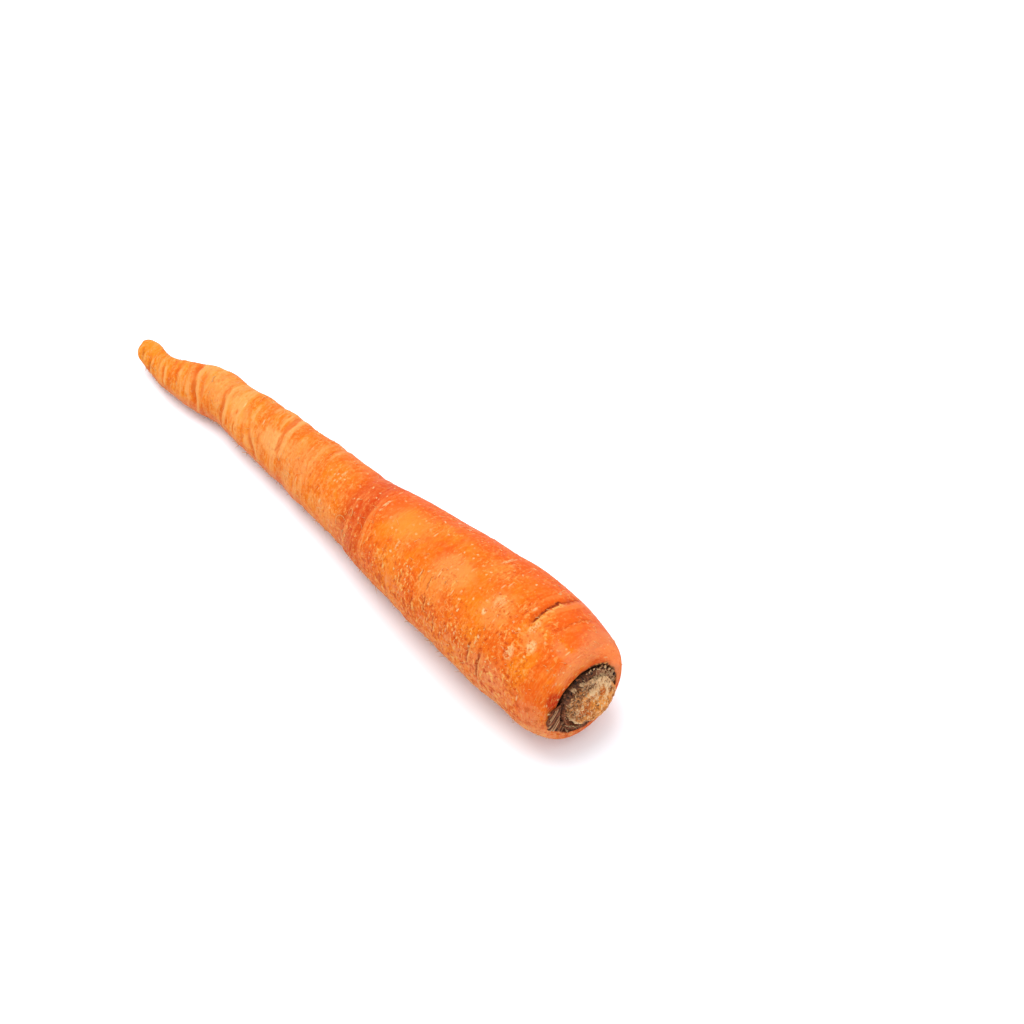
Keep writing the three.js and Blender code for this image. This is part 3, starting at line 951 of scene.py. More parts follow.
# %% [markdown]
# ## The knob crumbles
#
# Trimmed stalk dries into lumps, crumbs and pits, and frays at its rim. Noise at three sizes gives the
# lumps, the crumbs and the grit, the collar's fibres fray the rim, and a low ridge stands along the
# trimmed edge. Near the rim the roughness pushes outwards as well as up, so that the outline is ragged.
# It could be sculpted, but then a later change to the form under it would lose that work.

# %% The knob takes its place
BUTT_CREST_HEIGHT = 0.55


def butt_crumble(radius, along, share):
    """How far each point of the knob stands out or in: sums of noise, and none at its foot."""
    big = soft_noise(radius, bed_angles, 1.9, 12, 81) - 0.5
    crumbs = soft_noise(radius, bed_angles, 0.6, 52, 82) - 0.5
    fine = soft_noise(radius, bed_angles, 0.35, 110, 83) - 0.5
    fringe = (fibres(bed_angles, radius, 85) - 0.5) * smooth(0.72, 0.98, share)
    centre = smooth(0.0, 0.25, share)
    height = (0.8 * big + 0.55 * crumbs + 0.3 * fine + 0.6 * fringe) * centre
    height = height + 0.4 * window(bed_angles, TRIMMED_ANGLE, 34) * window(60 * share, 57, 3)
    return height * smooth(OVERHANG_FROM - 0.2, OVERHANG_FROM + 0.8, along)


butt_height = butt_crumble(butt_radius, butt_along, butt_share)
outward = smooth(0.8, 1.0, butt_share)
butt_rings = crown_point(
    butt_along + butt_height * (1 - 0.5 * outward),
    butt_radius + 0.5 * butt_height * outward,
    bed_angles,
)
bed_turn = np.radians(bed_angles)
butt_face = [butt_radius * np.cos(bed_turn), butt_radius * np.sin(bed_turn), butt_along]
butt_values = {
    "crest": with_ends(butt_height / BUTT_CREST_HEIGHT),
    "face": with_ends(np.stack(butt_face, axis=-1)),
    "lip": with_ends(window(bed_angles, 240, 48) * smooth(0.88, 0.96, butt_share)),
    "brown": with_ends(window(bed_angles, 140, 72) * smooth(0.5, 0.72, butt_share)),
}
butt_first = crown_point(BUTT_BASE, 0.0, 0.0)[None]
butt_last = crown_point(BUTT_TOP, 0.0, 0.0)[None]
butt = new_piece("stalk_knob", butt_rings[None], butt_first, butt_last, butt_values)
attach(butt, "root")
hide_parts("stalk_butt")

# %% [markdown]
# ## Crumbs
#
# Dead stalk falls to crumbs. A few hundred of them lie between the flakes and on the knob, and make the
# crown look dry from a step away. Each is a closed lump of four small rings, pushed in and out at
# random, so that no two are alike; a lump this small needs no more faces.

# %% Crumbs on the collar and the knob
CRUMBS = 430
CRUMB_RINGS = 4
CRUMB_SIDES = 6
CRUMBS_ON_KNOB = 0.4
CRUMBS_PACKED = 0.4


def crumb_places():
    """Where each crumb lies: on the knob, packed on the tan side of the collar, or anywhere on it.
    Gives its angle, its distance out, its height, and whether it is on the knob or packed."""
    k = np.arange(CRUMBS)[:, None, None]
    on_knob = draw(k + 2701) < CRUMBS_ON_KNOB
    angle = 360 * draw(k + 2401)
    packed = ~on_knob & (draw(k + 2351) < CRUMBS_PACKED)
    angle = np.where(packed, 95 - 130 * draw(k + 2401), angle) % 360
    radius = np.where(on_knob, 7.6 * np.sqrt(draw(k + 2501)), 8.5 + 2.1 * draw(k + 2501))
    dome = BUTT_TOP - BUTT_EDGE * (radius / BUTT_RADIUS) ** 3.5 - 0.1
    bed = COLLAR_FLOOR + 1.35 + 0.5 * draw(k + 2601) - 0.9 * overhang(angle)
    height = np.where(on_knob, dome, np.where(tongue(angle) > 0.5, bed + 0.3, bed))
    return angle, radius, height, on_knob, packed


def crumb_rings(angle, radius, height, on_knob):
    """Rings of every crumb: a ball, squashed and turned by drawn amounts, whose corners are moved in or
    out, set down at its place."""
    k = np.arange(CRUMBS)[:, None, None]
    size = np.where(on_knob, 0.12 + 0.2 * draw(k + 2801) ** 2, 0.16 + 0.38 * draw(k + 2801) ** 2)
    row = (np.arange(CRUMB_RINGS)[None, :, None] + 0.6) / (CRUMB_RINGS + 0.2) * np.pi
    side = 2 * np.pi * np.arange(CRUMB_SIDES)[None, None, :] / CRUMB_SIDES
    lump = size * (0.7 + 0.6 * cell_draw(7 * np.round(2 * row), 3 * np.round(side), k))
    up = -lump * np.cos(row) * (0.5 + 0.6 * draw(k + 2901))
    out = lump * np.sin(row) * np.cos(side) * (0.7 + 1.1 * draw(k + 3101))
    round_it = lump * np.sin(row) * np.sin(side)
    turned = 2 * np.pi * draw(k + 3201)
    far = radius + out * np.cos(turned) - round_it * np.sin(turned)
    beside = out * np.sin(turned) + round_it * np.cos(turned)
    return crown_point(height + up, far, angle + np.degrees(beside / np.maximum(radius, 1)))


crumb_angle, crumb_radius, crumb_height, crumb_on_knob, crumb_packed = crumb_places()
crumb_at = crumb_rings(crumb_angle, crumb_radius, crumb_height, crumb_on_knob)
crumb_blank = np.zeros(crumb_at.shape[:3])
crumb_number = np.arange(CRUMBS)[:, None, None] + crumb_blank
crumb_dry = np.maximum(crumb_on_knob, 0.7 * crumb_packed) + crumb_blank
crumb_tone = np.where(crumb_dry > 0.5, 0.5, -1.2) + 2.2 * draw(crumb_number + 3301)
crumb_values = {
    "grain": grain_of(1.7 * crumb_number, crumb_blank, crumb_blank),
    "crest": per_piece(crumb_tone),
    "pale": per_piece(0.4 + 0.6 * crumb_dry),
}
crumb_first = crumb_at[:, 0].mean(axis=1)
crumb_last = crumb_at[:, -1].mean(axis=1)
crumbs = new_piece("stalk_crumbs", crumb_at, crumb_first, crumb_last, crumb_values)
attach(crumbs, "root")

# %% [markdown]
# ## Threads along paths
#
# The tongue's coarse fibres, the fuzz and the rootlets are all threads: thin tubes along paths. A curve
# object with a bevel could make each one. Here all threads of a kind are one array, because they
# differ only in their numbers. A ring has to stand square to its path, so two directions square to the
# path and to each other are found with cross products.

# %% Threads along paths
def tubes(paths, thickness, sides=3):
    """Rings of many thin tubes at once. paths is n x rows x 3, thickness n x rows. Each ring stands
    square to its path, on two directions found by cross products."""
    along = np.gradient(paths, axis=1)
    along /= np.linalg.norm(along, axis=-1, keepdims=True)
    up = np.where(np.abs(along[..., 2:]) > 0.9, [1.0, 0, 0], [0, 0, 1.0])
    one = np.cross(along, up)
    one /= np.linalg.norm(one, axis=-1, keepdims=True)
    two = np.cross(along, one)
    turn = 2 * np.pi * np.arange(sides) / sides
    round_it = one[:, :, None] * np.cos(turn)[:, None] + two[:, :, None] * np.sin(turn)[:, None]
    return paths[:, :, None] + thickness[:, :, None, None] * round_it


straight = np.array([[[0.0, 0, 0], [1, 0, 0]]])
print("a straight thread has rings of shape", tubes(straight, np.full((1, 2), 0.1)).shape)

# %% [markdown]
# ## The strands of the tongue
#
# The tongue is a bundle of coarse fibres that all lie one way, from the knob over the lip and down on
# the shoulder, where they were cut off straight. The bed's noise gives the fine stripes between them.
# The strands make its edge and its ends thick, so they are real tubes of six sides.

# %% The strands of the tongue
STRANDS = 40
STRAND_ROWS = 12
STRAND_SIDES = 6
STRAND_WAY = np.radians(235)
STRANDS_FROM = 2.6
STRANDS_TO = 13.0
# the knob's edge, and the cut that ends the strands: its corner is so far beside and so far along
KNOB_EDGE = 7.3
CUT_BESIDE = 9.8
CUT_ALONG = 9.8


def strand_paths():
    """Coarse fibres of the tongue, all one way. Each is a line across the crown, at its own distance
    from the middle: it starts at the knob, runs over the lip, hugs the shoulder and ends at the cut,
    which is a straight edge with a corner in it."""
    k = np.arange(STRANDS)[:, None]
    t = np.linspace(0, 1, STRAND_ROWS)[None, :]
    beside = STRANDS_FROM + (STRANDS_TO - STRANDS_FROM) * (k + 0.8 * draw(k + 1311)) / STRANDS
    knob = np.sqrt(np.maximum(KNOB_EDGE**2 - beside**2, 0))
    start = np.maximum(knob, 0.6 + 0.8 * (beside - 8.2)) + 0.6 * draw(k + 1511)
    steep_cut = CUT_ALONG - 1.55 * (beside - CUT_BESIDE)
    flat_cut = 10.5 - 0.45 * np.maximum(4.8 - beside, 0)
    end = np.minimum(steep_cut, flat_cut)
    end = end - 1.6 * draw(k + 1411) ** 5 - 0.25 * draw(k + 1461)
    far = start + np.maximum(end - start, 0.5) * t
    side = beside + 0.35 * (draw(k + 1611) - 0.5) * t + 0.1 * np.sin(5 * t + 6 * draw(k + 1711))
    east = far * np.cos(STRAND_WAY) - side * np.sin(STRAND_WAY - np.pi)
    north = far * np.sin(STRAND_WAY) + side * np.cos(STRAND_WAY - np.pi)
    radius = np.hypot(east, north)
    angle = np.degrees(np.arctan2(north, east)) % 360
    lie = collar_underside(radius) + 0.3 + 0.4 * draw(k + 1811)
    lie = lie + 0.9 * smooth(9.8, 7.5, radius) * (0.6 + 0.5 * draw(k + 1911))
    lie = lie + 0.2 * smooth(0.8, 1.0, t) * (draw(k + 2011) - 0.4)
    thickness = (0.18 + 0.2 * draw(k + 2111)) * (1 - 0.25 * t**3) * (1 - 0.4 * (1 - t) ** 4)
    return crown_point(lie, radius, angle), thickness


strand_at, strand_thickness = strand_paths()
strand_rings = tubes(strand_at, strand_thickness, STRAND_SIDES)
strand_blank = np.zeros(strand_rings.shape[:3])
strand_number = np.arange(STRANDS)[:, None, None] + strand_blank
strand_along = np.linspace(0, 1, STRAND_ROWS)[None, :, None] + strand_blank
strand_values = {
    "grain": grain_of(0.5 * strand_along, 2.3 * strand_number, strand_blank),
    "crest": per_piece(2.6 * draw(strand_number + 2211) - 1.1),
    "pale": per_piece(1 + strand_blank),
}
strands = new_piece(
    "stalk_strands", strand_rings, strand_at[:, 0], strand_at[:, -1], strand_values
)
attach(strands, "root")

# %% [markdown]
# ## Fuzz
#
# An unpeeled carrot is fuzzy at its edges: side roots break off to stubs and threads, and dry skin
# lifts in slivers. Each hair starts in the skin, so it needs to know where the skin is and which way
# it faces there. Two more points of the skin, one a little ahead and one a little beside, tell that.
# Hair particles would do for a picture, but not for a mesh that is exported.

# %% Fuzz
FUZZ = 760
FUZZ_ROWS = 5
FUZZ_THICKNESS = 0.085
FUZZ_LOWEST = 0.1


def skin_frame(s, angle):
    """The skin's point, and its directions out, along and round, at drawn places."""
    s, angle = s[:, None], angle[:, None]
    height = relief(s, angle) + fine_relief(s, angle)
    here = skin_point(s, angle, height)[:, 0]
    ahead = skin_point(s + 0.3, angle, height)[:, 0] - here
    beside = skin_point(s, angle + 1.5, height)[:, 0] - here
    ahead /= np.linalg.norm(ahead, axis=-1, keepdims=True)
    beside /= np.linalg.norm(beside, axis=-1, keepdims=True)
    out = np.cross(beside, ahead)
    return here, out / np.linalg.norm(out, axis=-1, keepdims=True), ahead, beside


def fuzz_paths():
    """Short hairs all over, more on the sides than on top: each starts in the skin, leans along it and
    curls."""
    k = np.arange(FUZZ)
    s = 5 + 205 * draw(k + 1001)
    angle = 180 + 150 * (draw(k + 2001) - 0.5) + np.where(draw(k + 3001) < 0.45, 180, 0)
    angle = np.where(k % 5 == 0, 203 + 30 * draw(k + 2101), angle)
    here, out, ahead, beside = skin_frame(s, angle)
    length = (0.6 + 1.6 * draw(k + 4001) ** 2)[:, None]
    swing = 2 * np.pi * draw(k + 5001)[:, None]
    flat = ahead * np.cos(swing) + beside * np.sin(swing)
    t = np.linspace(0, 1, FUZZ_ROWS)[None, :, None]
    lift = (0.25 + 0.6 * draw(k + 6001))[:, None, None]
    curl = 0.5 * (draw(k + 7001) - 0.5)[:, None, None]
    grow = out[:, None] * (lift * t - 0.08) + flat[:, None] * t
    grow = grow + np.cross(out, flat)[:, None] * curl * t**2
    thickness = FUZZ_THICKNESS * (1 - 0.7 * t[..., 0]) * (0.7 + 0.8 * draw(k + 8001))[:, None]
    return here[:, None] + length[:, None] * grow, thickness


fuzz_at, fuzz_thickness = fuzz_paths()
fuzz_at[..., 2] = np.maximum(fuzz_at[..., 2], FUZZ_LOWEST)
fuzz_rings = tubes(fuzz_at, fuzz_thickness)
fuzz = new_piece("fuzz", fuzz_rings, fuzz_at[:, 0], fuzz_at[:, -1])
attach(fuzz, "root")

# %% [markdown]
# ## Rootlets
#
# A few side roots are still whole: fine threads that leave the skin at once, wind from side to side and
# lie back against it. A path drawn in space would cut through the folds, so a rootlet is drawn on the
# straightened carrot, by place and angle, and then laid on the skin with a small gap that grows and
# closes again.

# %% Rootlets
ROOTLET_ROWS = 22
ROOTLET_SIDES = 5
ROOTLET_THICKNESS = 0.09
# each rootlet: place in mm from the tip, angle, length in mm, how far it winds, and a seed
ROOTLETS = [
    (114.5, 150, 9.0, 1.1, 1), (117.0, 138, 7.0, 1.6, 2), (116.0, 158, 6.0, 0.8, 3),
    (36.5, 95, 3.5, 0.7, 4), (58.0, 60, 4.0, 0.9, 5), (92.0, 20, 6.0, 1.2, 6),
    (141.0, 330, 5.0, 1.0, 7), (166.0, 30, 4.0, 0.8, 8), (12.0, 60, 3.0, 0.6, 9),
    (193.8, 88, 2.2, 0.5, 10), (193.9, 101, 1.8, 0.6, 11), (70.0, 200, 3.0, 0.7, 12),
]


def rootlet_paths():
    """Threads over the skin. A rootlet's way turns as a sine of the distance along it; its steps along
    and round the carrot add up to its path, which hovers over the skin as half a sine."""
    place, angle, length, wind, seed = np.array(ROOTLETS, float).T
    t = np.linspace(0, 1, ROOTLET_ROWS)[None, :]
    way = 2 * np.pi * draw(seed * 17)[:, None]
    turn = way + wind[:, None] * (2.2 * np.sin(2.6 * t + 6 * draw(seed * 23)[:, None]) + t)
    step = length[:, None] / ROOTLET_ROWS
    go_ahead = np.cumsum(np.cos(turn) * step, axis=1)
    go_round = np.cumsum(np.sin(turn) * step, axis=1)
    s = place[:, None] + go_ahead
    around = angle[:, None] + np.degrees(go_round / curve(RADII, place)[:, None])
    height = relief(s, around) + fine_relief(s, around)
    hover = 0.06 + 0.5 * np.sin(np.pi * t) * draw(seed * 29)[:, None]
    thickness = ROOTLET_THICKNESS * (1 - 0.7 * t) * np.ones_like(s)
    return skin_point(s, around, height + hover), thickness


rootlet_at, rootlet_thickness = rootlet_paths()
rootlet_rings = tubes(rootlet_at, rootlet_thickness, ROOTLET_SIDES)
rootlets = new_piece("rootlets", rootlet_rings, rootlet_at[:, 0], rootlet_at[:, -1])
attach(rootlets, "root")

# %% [markdown]
# ## Shader maths
#
# A material is a network of nodes, and a large network is hard to read as calls. `Wire` wraps one
# output of a node, so that sums and products on it are written as Python. The names that start with
# __r are the same operations with the wire on the right, as in `1.0 - mask`.

# %% A wire
class Wire:
    """One output of a node. Sums, differences, products and quotients with it add Math nodes."""

    def __init__(self, finish, socket):
        self.finish = finish
        self.socket = socket

    def maths(self, operation, *others):
        """A Math node with this operation on the values or wires given."""
        return self.finish.add("ShaderNodeMath", {"operation": operation}, dict(enumerate(others)))

    def __add__(self, other):
        return self.maths("ADD", self, other)

    def __sub__(self, other):
        return self.maths("SUBTRACT", self, other)

    def __rsub__(self, other):
        return self.maths("SUBTRACT", other, self)

    def __mul__(self, other):
        return self.maths("MULTIPLY", self, other)

    def __truediv__(self, other):
        return self.maths("DIVIDE", self, other)

    def __pow__(self, other):
        return self.maths("POWER", self, other)

    def magnitude(self):
        """The value without its sign."""
        return self.maths("ABSOLUTE", self)

    def clamped(self):
        """The value, no less than 0 and no more than 1."""
        return self.maths("MINIMUM", self.maths("MAXIMUM", self, 0.0), 1.0)

    def other(self, name):
        """Another output of the same node."""
        return Wire(self.finish, self.socket.node.outputs[name])

    __radd__ = __add__
    __rmul__ = __mul__


print("besides its operators, a wire has:", [name for name in vars(Wire) if name[0] != "_"])

# %% [markdown]
# ## A finish
#
# `Finish` is a material, and its method `add` makes any node: its type, its settings, and what goes
# into its sockets. The other methods are short names for nodes that come up often. `lay` builds a
# colour the way a painter does, in layers: each covers what is there by a share.

# %% A finish
class Finish:
    """A material with a Principled shader, the colour laid on it so far, and ways to add nodes."""

    def __init__(self, name):
        self.material = bpy.data.materials.new(name)
        self.material.use_nodes = True
        self.tree = self.material.node_tree
        self.shader = self.tree.nodes["Principled BSDF"]
        self.color = (1.0, 1.0, 1.0)

    def add(self, kind, settings=None, inputs=None, output=0):
        """Adds a node, sets its settings, then gives its sockets numbers, colours or wires."""
        node = self.tree.nodes.new(kind)
        for key, value in (settings or {}).items():
            if key == "stops":
                self.set_stops(node.color_ramp, value)
            else:
                setattr(node, key, value)
        for key, value in (inputs or {}).items():
            self.join(node.inputs[key], value)
        return Wire(self, node.outputs[output])

    def set_stops(self, ramp, stops):
        """Gives a colour ramp its (place, colour) stops."""
        while len(ramp.elements) < len(stops):
            ramp.elements.new(0.5)
        for element, (place, color) in zip(ramp.elements, stops):
            element.position = place
            element.color = (*color, 1)

    def join(self, socket, value):
        """Links a wire to a socket, or sets a plain value there."""
        if isinstance(value, Wire):
            self.tree.links.new(value.socket, socket)
        elif isinstance(value, tuple) and len(value) == 3 and len(socket.default_value) == 4:
            socket.default_value = (*value, 1)
        else:
            socket.default_value = value

    def set(self, **values):
        """Sets the shader's own sockets, named with _ for a space."""
        for key, value in values.items():
            self.join(self.shader.inputs[key.replace("_", " ")], value)

    def attribute(self, name, output):
        """One of the mesh's own values: output Fac for a number, Vector for a place."""
        return self.add("ShaderNodeAttribute", {"attribute_name": name}, output=output)

    def scaled(self, place, scale):
        """A place multiplied by a scale, which stretches a pattern read there."""
        inputs = {0: place, 1: scale}
        return self.add("ShaderNodeVectorMath", {"operation": "MULTIPLY"}, inputs)

    def noise(self, place, scale, detail=3.0, roughness=0.55, distortion=0.0):
        """Cloudy noise, mostly from 0.3 to 0.7."""
        inputs = {
            "Vector": place, "Scale": scale, "Detail": detail, "Roughness": roughness,
            "Distortion": distortion,
        }
        return self.add("ShaderNodeTexNoise", {}, inputs)

    def cells(self, place, scale):
        """The distance to the nearest of many scattered points; its Color is a draw for each point."""
        inputs = {"Vector": place, "Scale": scale, "Randomness": 1.0}
        return self.add("ShaderNodeTexVoronoi", {}, inputs, "Distance")

    def step(self, value, low, high):
        """0 below low, 1 above high, and an S curve between. low may be the greater."""
        settings = {"interpolation_type": "SMOOTHSTEP"}
        inputs = {"Value": value, "From Min": low, "From Max": high}
        return self.add("ShaderNodeMapRange", settings, inputs)

    def mix(self, share, one, other):
        """One colour turning into the other as the share goes from 0 to 1."""
        settings = {"data_type": "RGBA", "blend_type": "MIX"}
        return self.add("ShaderNodeMix", settings, {0: share, 6: one, 7: other}, 2)

    def lay(self, share, color):
        """Covers the colour so far with another, fully where the share is 1."""
        self.color = self.mix(share, self.color, color)

    def bump(self, height, distance):
        """A normal that leans as if the surface stood out by height times distance, in metres."""
        inputs = {"Height": height, "Distance": distance, "Strength": 1.0}
        return self.add("ShaderNodeBump", {}, inputs)


print("a finish has:", [name for name in vars(Finish) if name[0] != "_"])

# %% [markdown]
# ## Colours as they are seen
#
# Colours are easiest to name as they look on a screen, from 0 to 255, but shaders add up light, so
# they need linear values. This studio is also bright enough to turn its floor pure white, so a surface
# looks lighter than its own colour. `flesh` allows for both: it is given the colour that should be
# seen on top of the carrot, and returns the darker one that the surface must have.

# %% Colours as they are seen
STUDIO_GAIN = 1.72


def srgb(red, green, blue):
    """A screen colour from 0 to 255 as the linear colour that shaders use."""
    value = np.array([red, green, blue]) / 255
    linear = np.where(value <= 0.04045, value / 12.92, ((value + 0.055) / 1.055) ** 2.4)
    return tuple(float(v) for v in linear)


def flesh(red, green, blue):
    """The surface colour that looks like this screen colour on top of the carrot in this studio."""
    return tuple(value / STUDIO_GAIN for value in srgb(red, green, blue))


print("mid orange on the surface:", np.round(flesh(262, 126, 18), 3))

# %% [markdown]
# ## Carrot skin: where a point is
#
# The orange is in the flesh, and the skin over it is a thin, partly dry film, so the colour is laid on
# in layers, one to a cell. They all ask how far a point is along the carrot, how far round it from the
# side that faces the camera, and whether it is on the thin half or the low side. `SkinFinish` works
# these out once. Its `spots` tell where listed marks lie.

# %% The skin's finish and what it knows
VIEW_SIDE = 124
# two places in mm from the tip, or two turns in radians from the view side: where a part of the skin
# starts to show, and where it shows fully
THIN_END = (128.0, 70.0)
CROWN_END = (196.0, 206.0)
FAR_EDGE = (-0.3, -0.9)
LOW_SIDE = (0.35, 0.95)
LOW_SIDE_ENDS = (2.6, 1.9)
BENEATH_ENDS = (3.05, 2.5)
# each spot: place in mm from the tip, angle, half length in mm, half width in degrees, strength
# smooth patches on top with fewer flecks and less deep orange, which is partly a painted soft sheen
SMOOTH_SPOTS = [(134, 98, 12, 24, 0.9), (151, 106, 10, 18, 0.9), (167, 104, 9, 14, 0.7)]
FILM_ORANGE = flesh(268, 166, 84)
FILM_PEACH = flesh(268, 190, 110)


class SkinFinish(Finish):
    """The skin's finish, what it knows of every point, and the height and roughness laid on so far."""

    def __init__(self, name):
        super().__init__(name)
        self.place = self.attribute("skin", "Vector")
        self.crest = self.attribute("crest", "Fac")
        self.along, self.turn = self.along_and_turn()
        self.ragged = self.noise(self.place, 0.45, 4.0, 0.65) - 0.5
        self.grain = self.noise(self.scaled(self.place, (1.0, 0.75, 0.75)), 1.25, 3.0, 0.7)
        self.thin_end = self.step(self.along, *THIN_END)
        self.crown_end = self.step(self.along, *CROWN_END)
        self.low_side = self.step(self.turn, *LOW_SIDE) * self.step(self.turn, *LOW_SIDE_ENDS)
        self.beneath = self.step(self.turn, *BENEATH_ENDS)
        self.even = self.spots(SMOOTH_SPOTS)
        self.calm = self.calm_part()
        self.film_color = self.mix(self.thin_end, FILM_ORANGE, FILM_PEACH)
        self.height = 0.0
        self.roughness = 0.42

    def along_and_turn(self):
        """The distance from the tip in mm, and the angle from the view side in radians: an arctangent
        of how far the point is sideways from that side, over how far it is towards it."""
        along = self.add("ShaderNodeSeparateXYZ", {}, {"Vector": self.place}, "X")
        y, z = along.other("Y"), along.other("Z")
        seen = np.radians(VIEW_SIDE)
        toward = y * float(np.cos(seen)) + z * float(np.sin(seen))
        sideways = z * float(np.cos(seen)) - y * float(np.sin(seen))
        return along, sideways.maths("ARCTAN2", sideways, toward)

    def calm_part(self):
        """How strongly sand and flecks show: less on crown, thin end, far edge and smooth spots."""
        calm = 1.0 - 0.35 * self.crown_end - 0.5 * self.thin_end
        calm = calm * (1.0 - 0.35 * self.step(self.turn, *FAR_EDGE))
        return calm * (1.0 - 0.65 * self.even)

    def spots(self, table, edge=0.9):
        """How strongly any spot of a table covers the skin here. A spot is an ellipse, and noise tears
        its edge."""
        total = 0.0
        for at, angle, length, width, strength in table:
            far_along = (self.along - at) / length
            far_round = (self.turn - np.radians(angle - VIEW_SIDE)) / np.radians(width)
            far = (far_along * far_along + far_round * far_round) ** 0.5 + edge * self.ragged
            total = total + strength * self.step(far, 1.15, 0.5)
        return total.clamped()


skin_finish = SkinFinish("carrot_skin")
print("nodes so far:", len(skin_finish.tree.nodes))

# %% [markdown]
# ## Layer 1: orange flesh
#
# A carrot isn't one orange. It wanders from deep to bright in clouds about two centimetres wide, and in
# smaller ones inside those: one noise goes through a colour ramp, and a quicker one through two mixes.
# The shoulder is redder, and the red along the far side is painted shade. The deeper orange of the
# listed spots is partly the flesh's own and partly painted shade.

# %% Orange flesh
DEEP_ORANGE = flesh(254, 104, 20)
ORANGE = flesh(262, 126, 18)
BRIGHT_ORANGE = flesh(268, 148, 26)
SHOULDER_RED = flesh(256, 100, 26)
ORANGE_STOPS = [(0.32, DEEP_ORANGE), (0.5, ORANGE), (0.68, BRIGHT_ORANGE)]
RED_SHOULDER = (188.0, 200.0)
FAR_SIDE = (-0.6, -1.1)
FAR_SIDE_ENDS = (-2.1, -1.5)
FAR_SIDE_FROM = (70.0, 120.0)
# deep spots: partly the flesh's own deeper orange, partly painted shade on the far side, at the neck,
# below the shoulder's crease and beside the tongue
DEEP_SPOTS = [
    (119, 138, 8, 60, 0.6), (187, 84, 4, 14, 0.5), (129.5, 98, 5, 24, 0.8), (150, 146, 7, 15, 0.6),
    (178, 163, 6, 11, 0.6), (191.5, 92, 3, 45, 0.6), (198, 66, 7, 22, 0.5), (208, 150, 8, 20, 0.7),
    (189, 139, 4, 12, 0.5), (163, 56, 26, 24, 0.9), (95, 60, 22, 24, 0.5), (70, 160, 12, 22, 0.15),
    (190, 40, 22, 26, 0.8), (205, 118, 6, 14, 0.5), (216, 152, 4, 12, 1.0), (136, 60, 14, 30, 0.7),
]


def orange_flesh(f):
    """Clouds of orange in two sizes, a redder shoulder, painted shade along the far side, and the deep
    spots, which are partly painted shade.
    """
    clouds = f.noise(f.place, 0.06, 3.0, 0.55)
    f.color = f.add("ShaderNodeValToRGB", {"stops": ORANGE_STOPS}, {"Fac": clouds})
    middling = f.noise(f.scaled(f.place, (1.0, 0.7, 0.7)), 0.2, 4.0, 0.6)
    f.lay(0.5 * f.step(middling, 0.52, 0.64), BRIGHT_ORANGE)
    f.lay((0.5 - 0.35 * f.even) * f.step(middling, 0.48, 0.36), DEEP_ORANGE)
    shoulder = f.step(f.along, *RED_SHOULDER)
    f.lay(0.6 * shoulder * f.step(middling, 0.62, 0.46), SHOULDER_RED)
    # painted shade: the far side made redder
    far_shade = f.step(f.turn, *FAR_SIDE) * f.step(f.turn, *FAR_SIDE_ENDS)
    f.lay(0.85 * far_shade * f.step(f.along, *FAR_SIDE_FROM), SHOULDER_RED)
    f.lay(f.spots(DEEP_SPOTS), DEEP_ORANGE)


orange_flesh(skin_finish)
print("deep spots:", len(DEEP_SPOTS), " nodes so far:", len(skin_finish.tree.nodes))

# %% [markdown]
# ## Layer 2: neck, thin end and tip
#
# The colour also changes along the root. The neck is redder, partly in its own colour and partly as a
# painted cast shadow. The thin half is peach in rings, where its skin has dried, and the very tip is
# yellow. Painted shade darkens the lip of the crown towards the hollow, and makes a deep red spot
# beside the tongue. Noise tears the edges of neck and rings, so that neither ends in a clean line.

# %% Neck, thin end and tip
NECK_RED_AND_SHADOW = flesh(230, 74, 22)
PEACH_ORANGE = flesh(266, 160, 46)
THIN_DEEP = flesh(252, 116, 18)
TIP_YELLOW = flesh(264, 154, 24)
GROOVE_RED = flesh(222, 74, 14)
# a deep red for painted shade
SHADE_RED = flesh(206, 44, 2)
NECK_FROM = (106.0, 117.0)
NECK_TO = (127.0, 120.0)
TIP_END = (24.0, 4.0)
LIP_SHADE = (213.5, 217.5)
PAINTED_SHADE_SPOTS = [(215.3, 151, 3.8, 13, 1.5)]


def along_the_root(f):
    """What changes from tip to crown, each between two places along the carrot."""
    # the neck's red: partly its own colour, partly a painted cast shadow
    neck = f.step(f.along + 5.0 * f.ragged, *NECK_FROM) * f.step(f.along + 2.0 * f.ragged, *NECK_TO)
    f.lay(0.85 * neck, NECK_RED_AND_SHADOW)
    bands = f.noise(f.scaled(f.place, (1.0, 0.24, 0.24)), 0.25, 4.0, 0.62)
    f.lay(0.4 * f.thin_end, PEACH_ORANGE)
    f.lay(0.6 * f.thin_end * f.step(bands, 0.5, 0.62), FILM_PEACH)
    f.lay(0.65 * f.thin_end * f.step(bands, 0.49, 0.38), THIN_DEEP)
    f.lay((0.5 + 0.4 * f.step(bands, 0.45, 0.55)) * f.step(f.along, *TIP_END), TIP_YELLOW)
    # painted shade: the lip darkening towards the hollow, and a deep red spot in the dip beside the
    # tongue
    f.lay(0.7 * f.step(f.along, *LIP_SHADE), GROOVE_RED)
    f.lay(0.9 * f.spots(PAINTED_SHADE_SPOTS, 0.5), SHADE_RED)


along_the_root(skin_finish)
print("neck from", NECK_FROM[0], "to", NECK_TO[0], "mm from the tip")
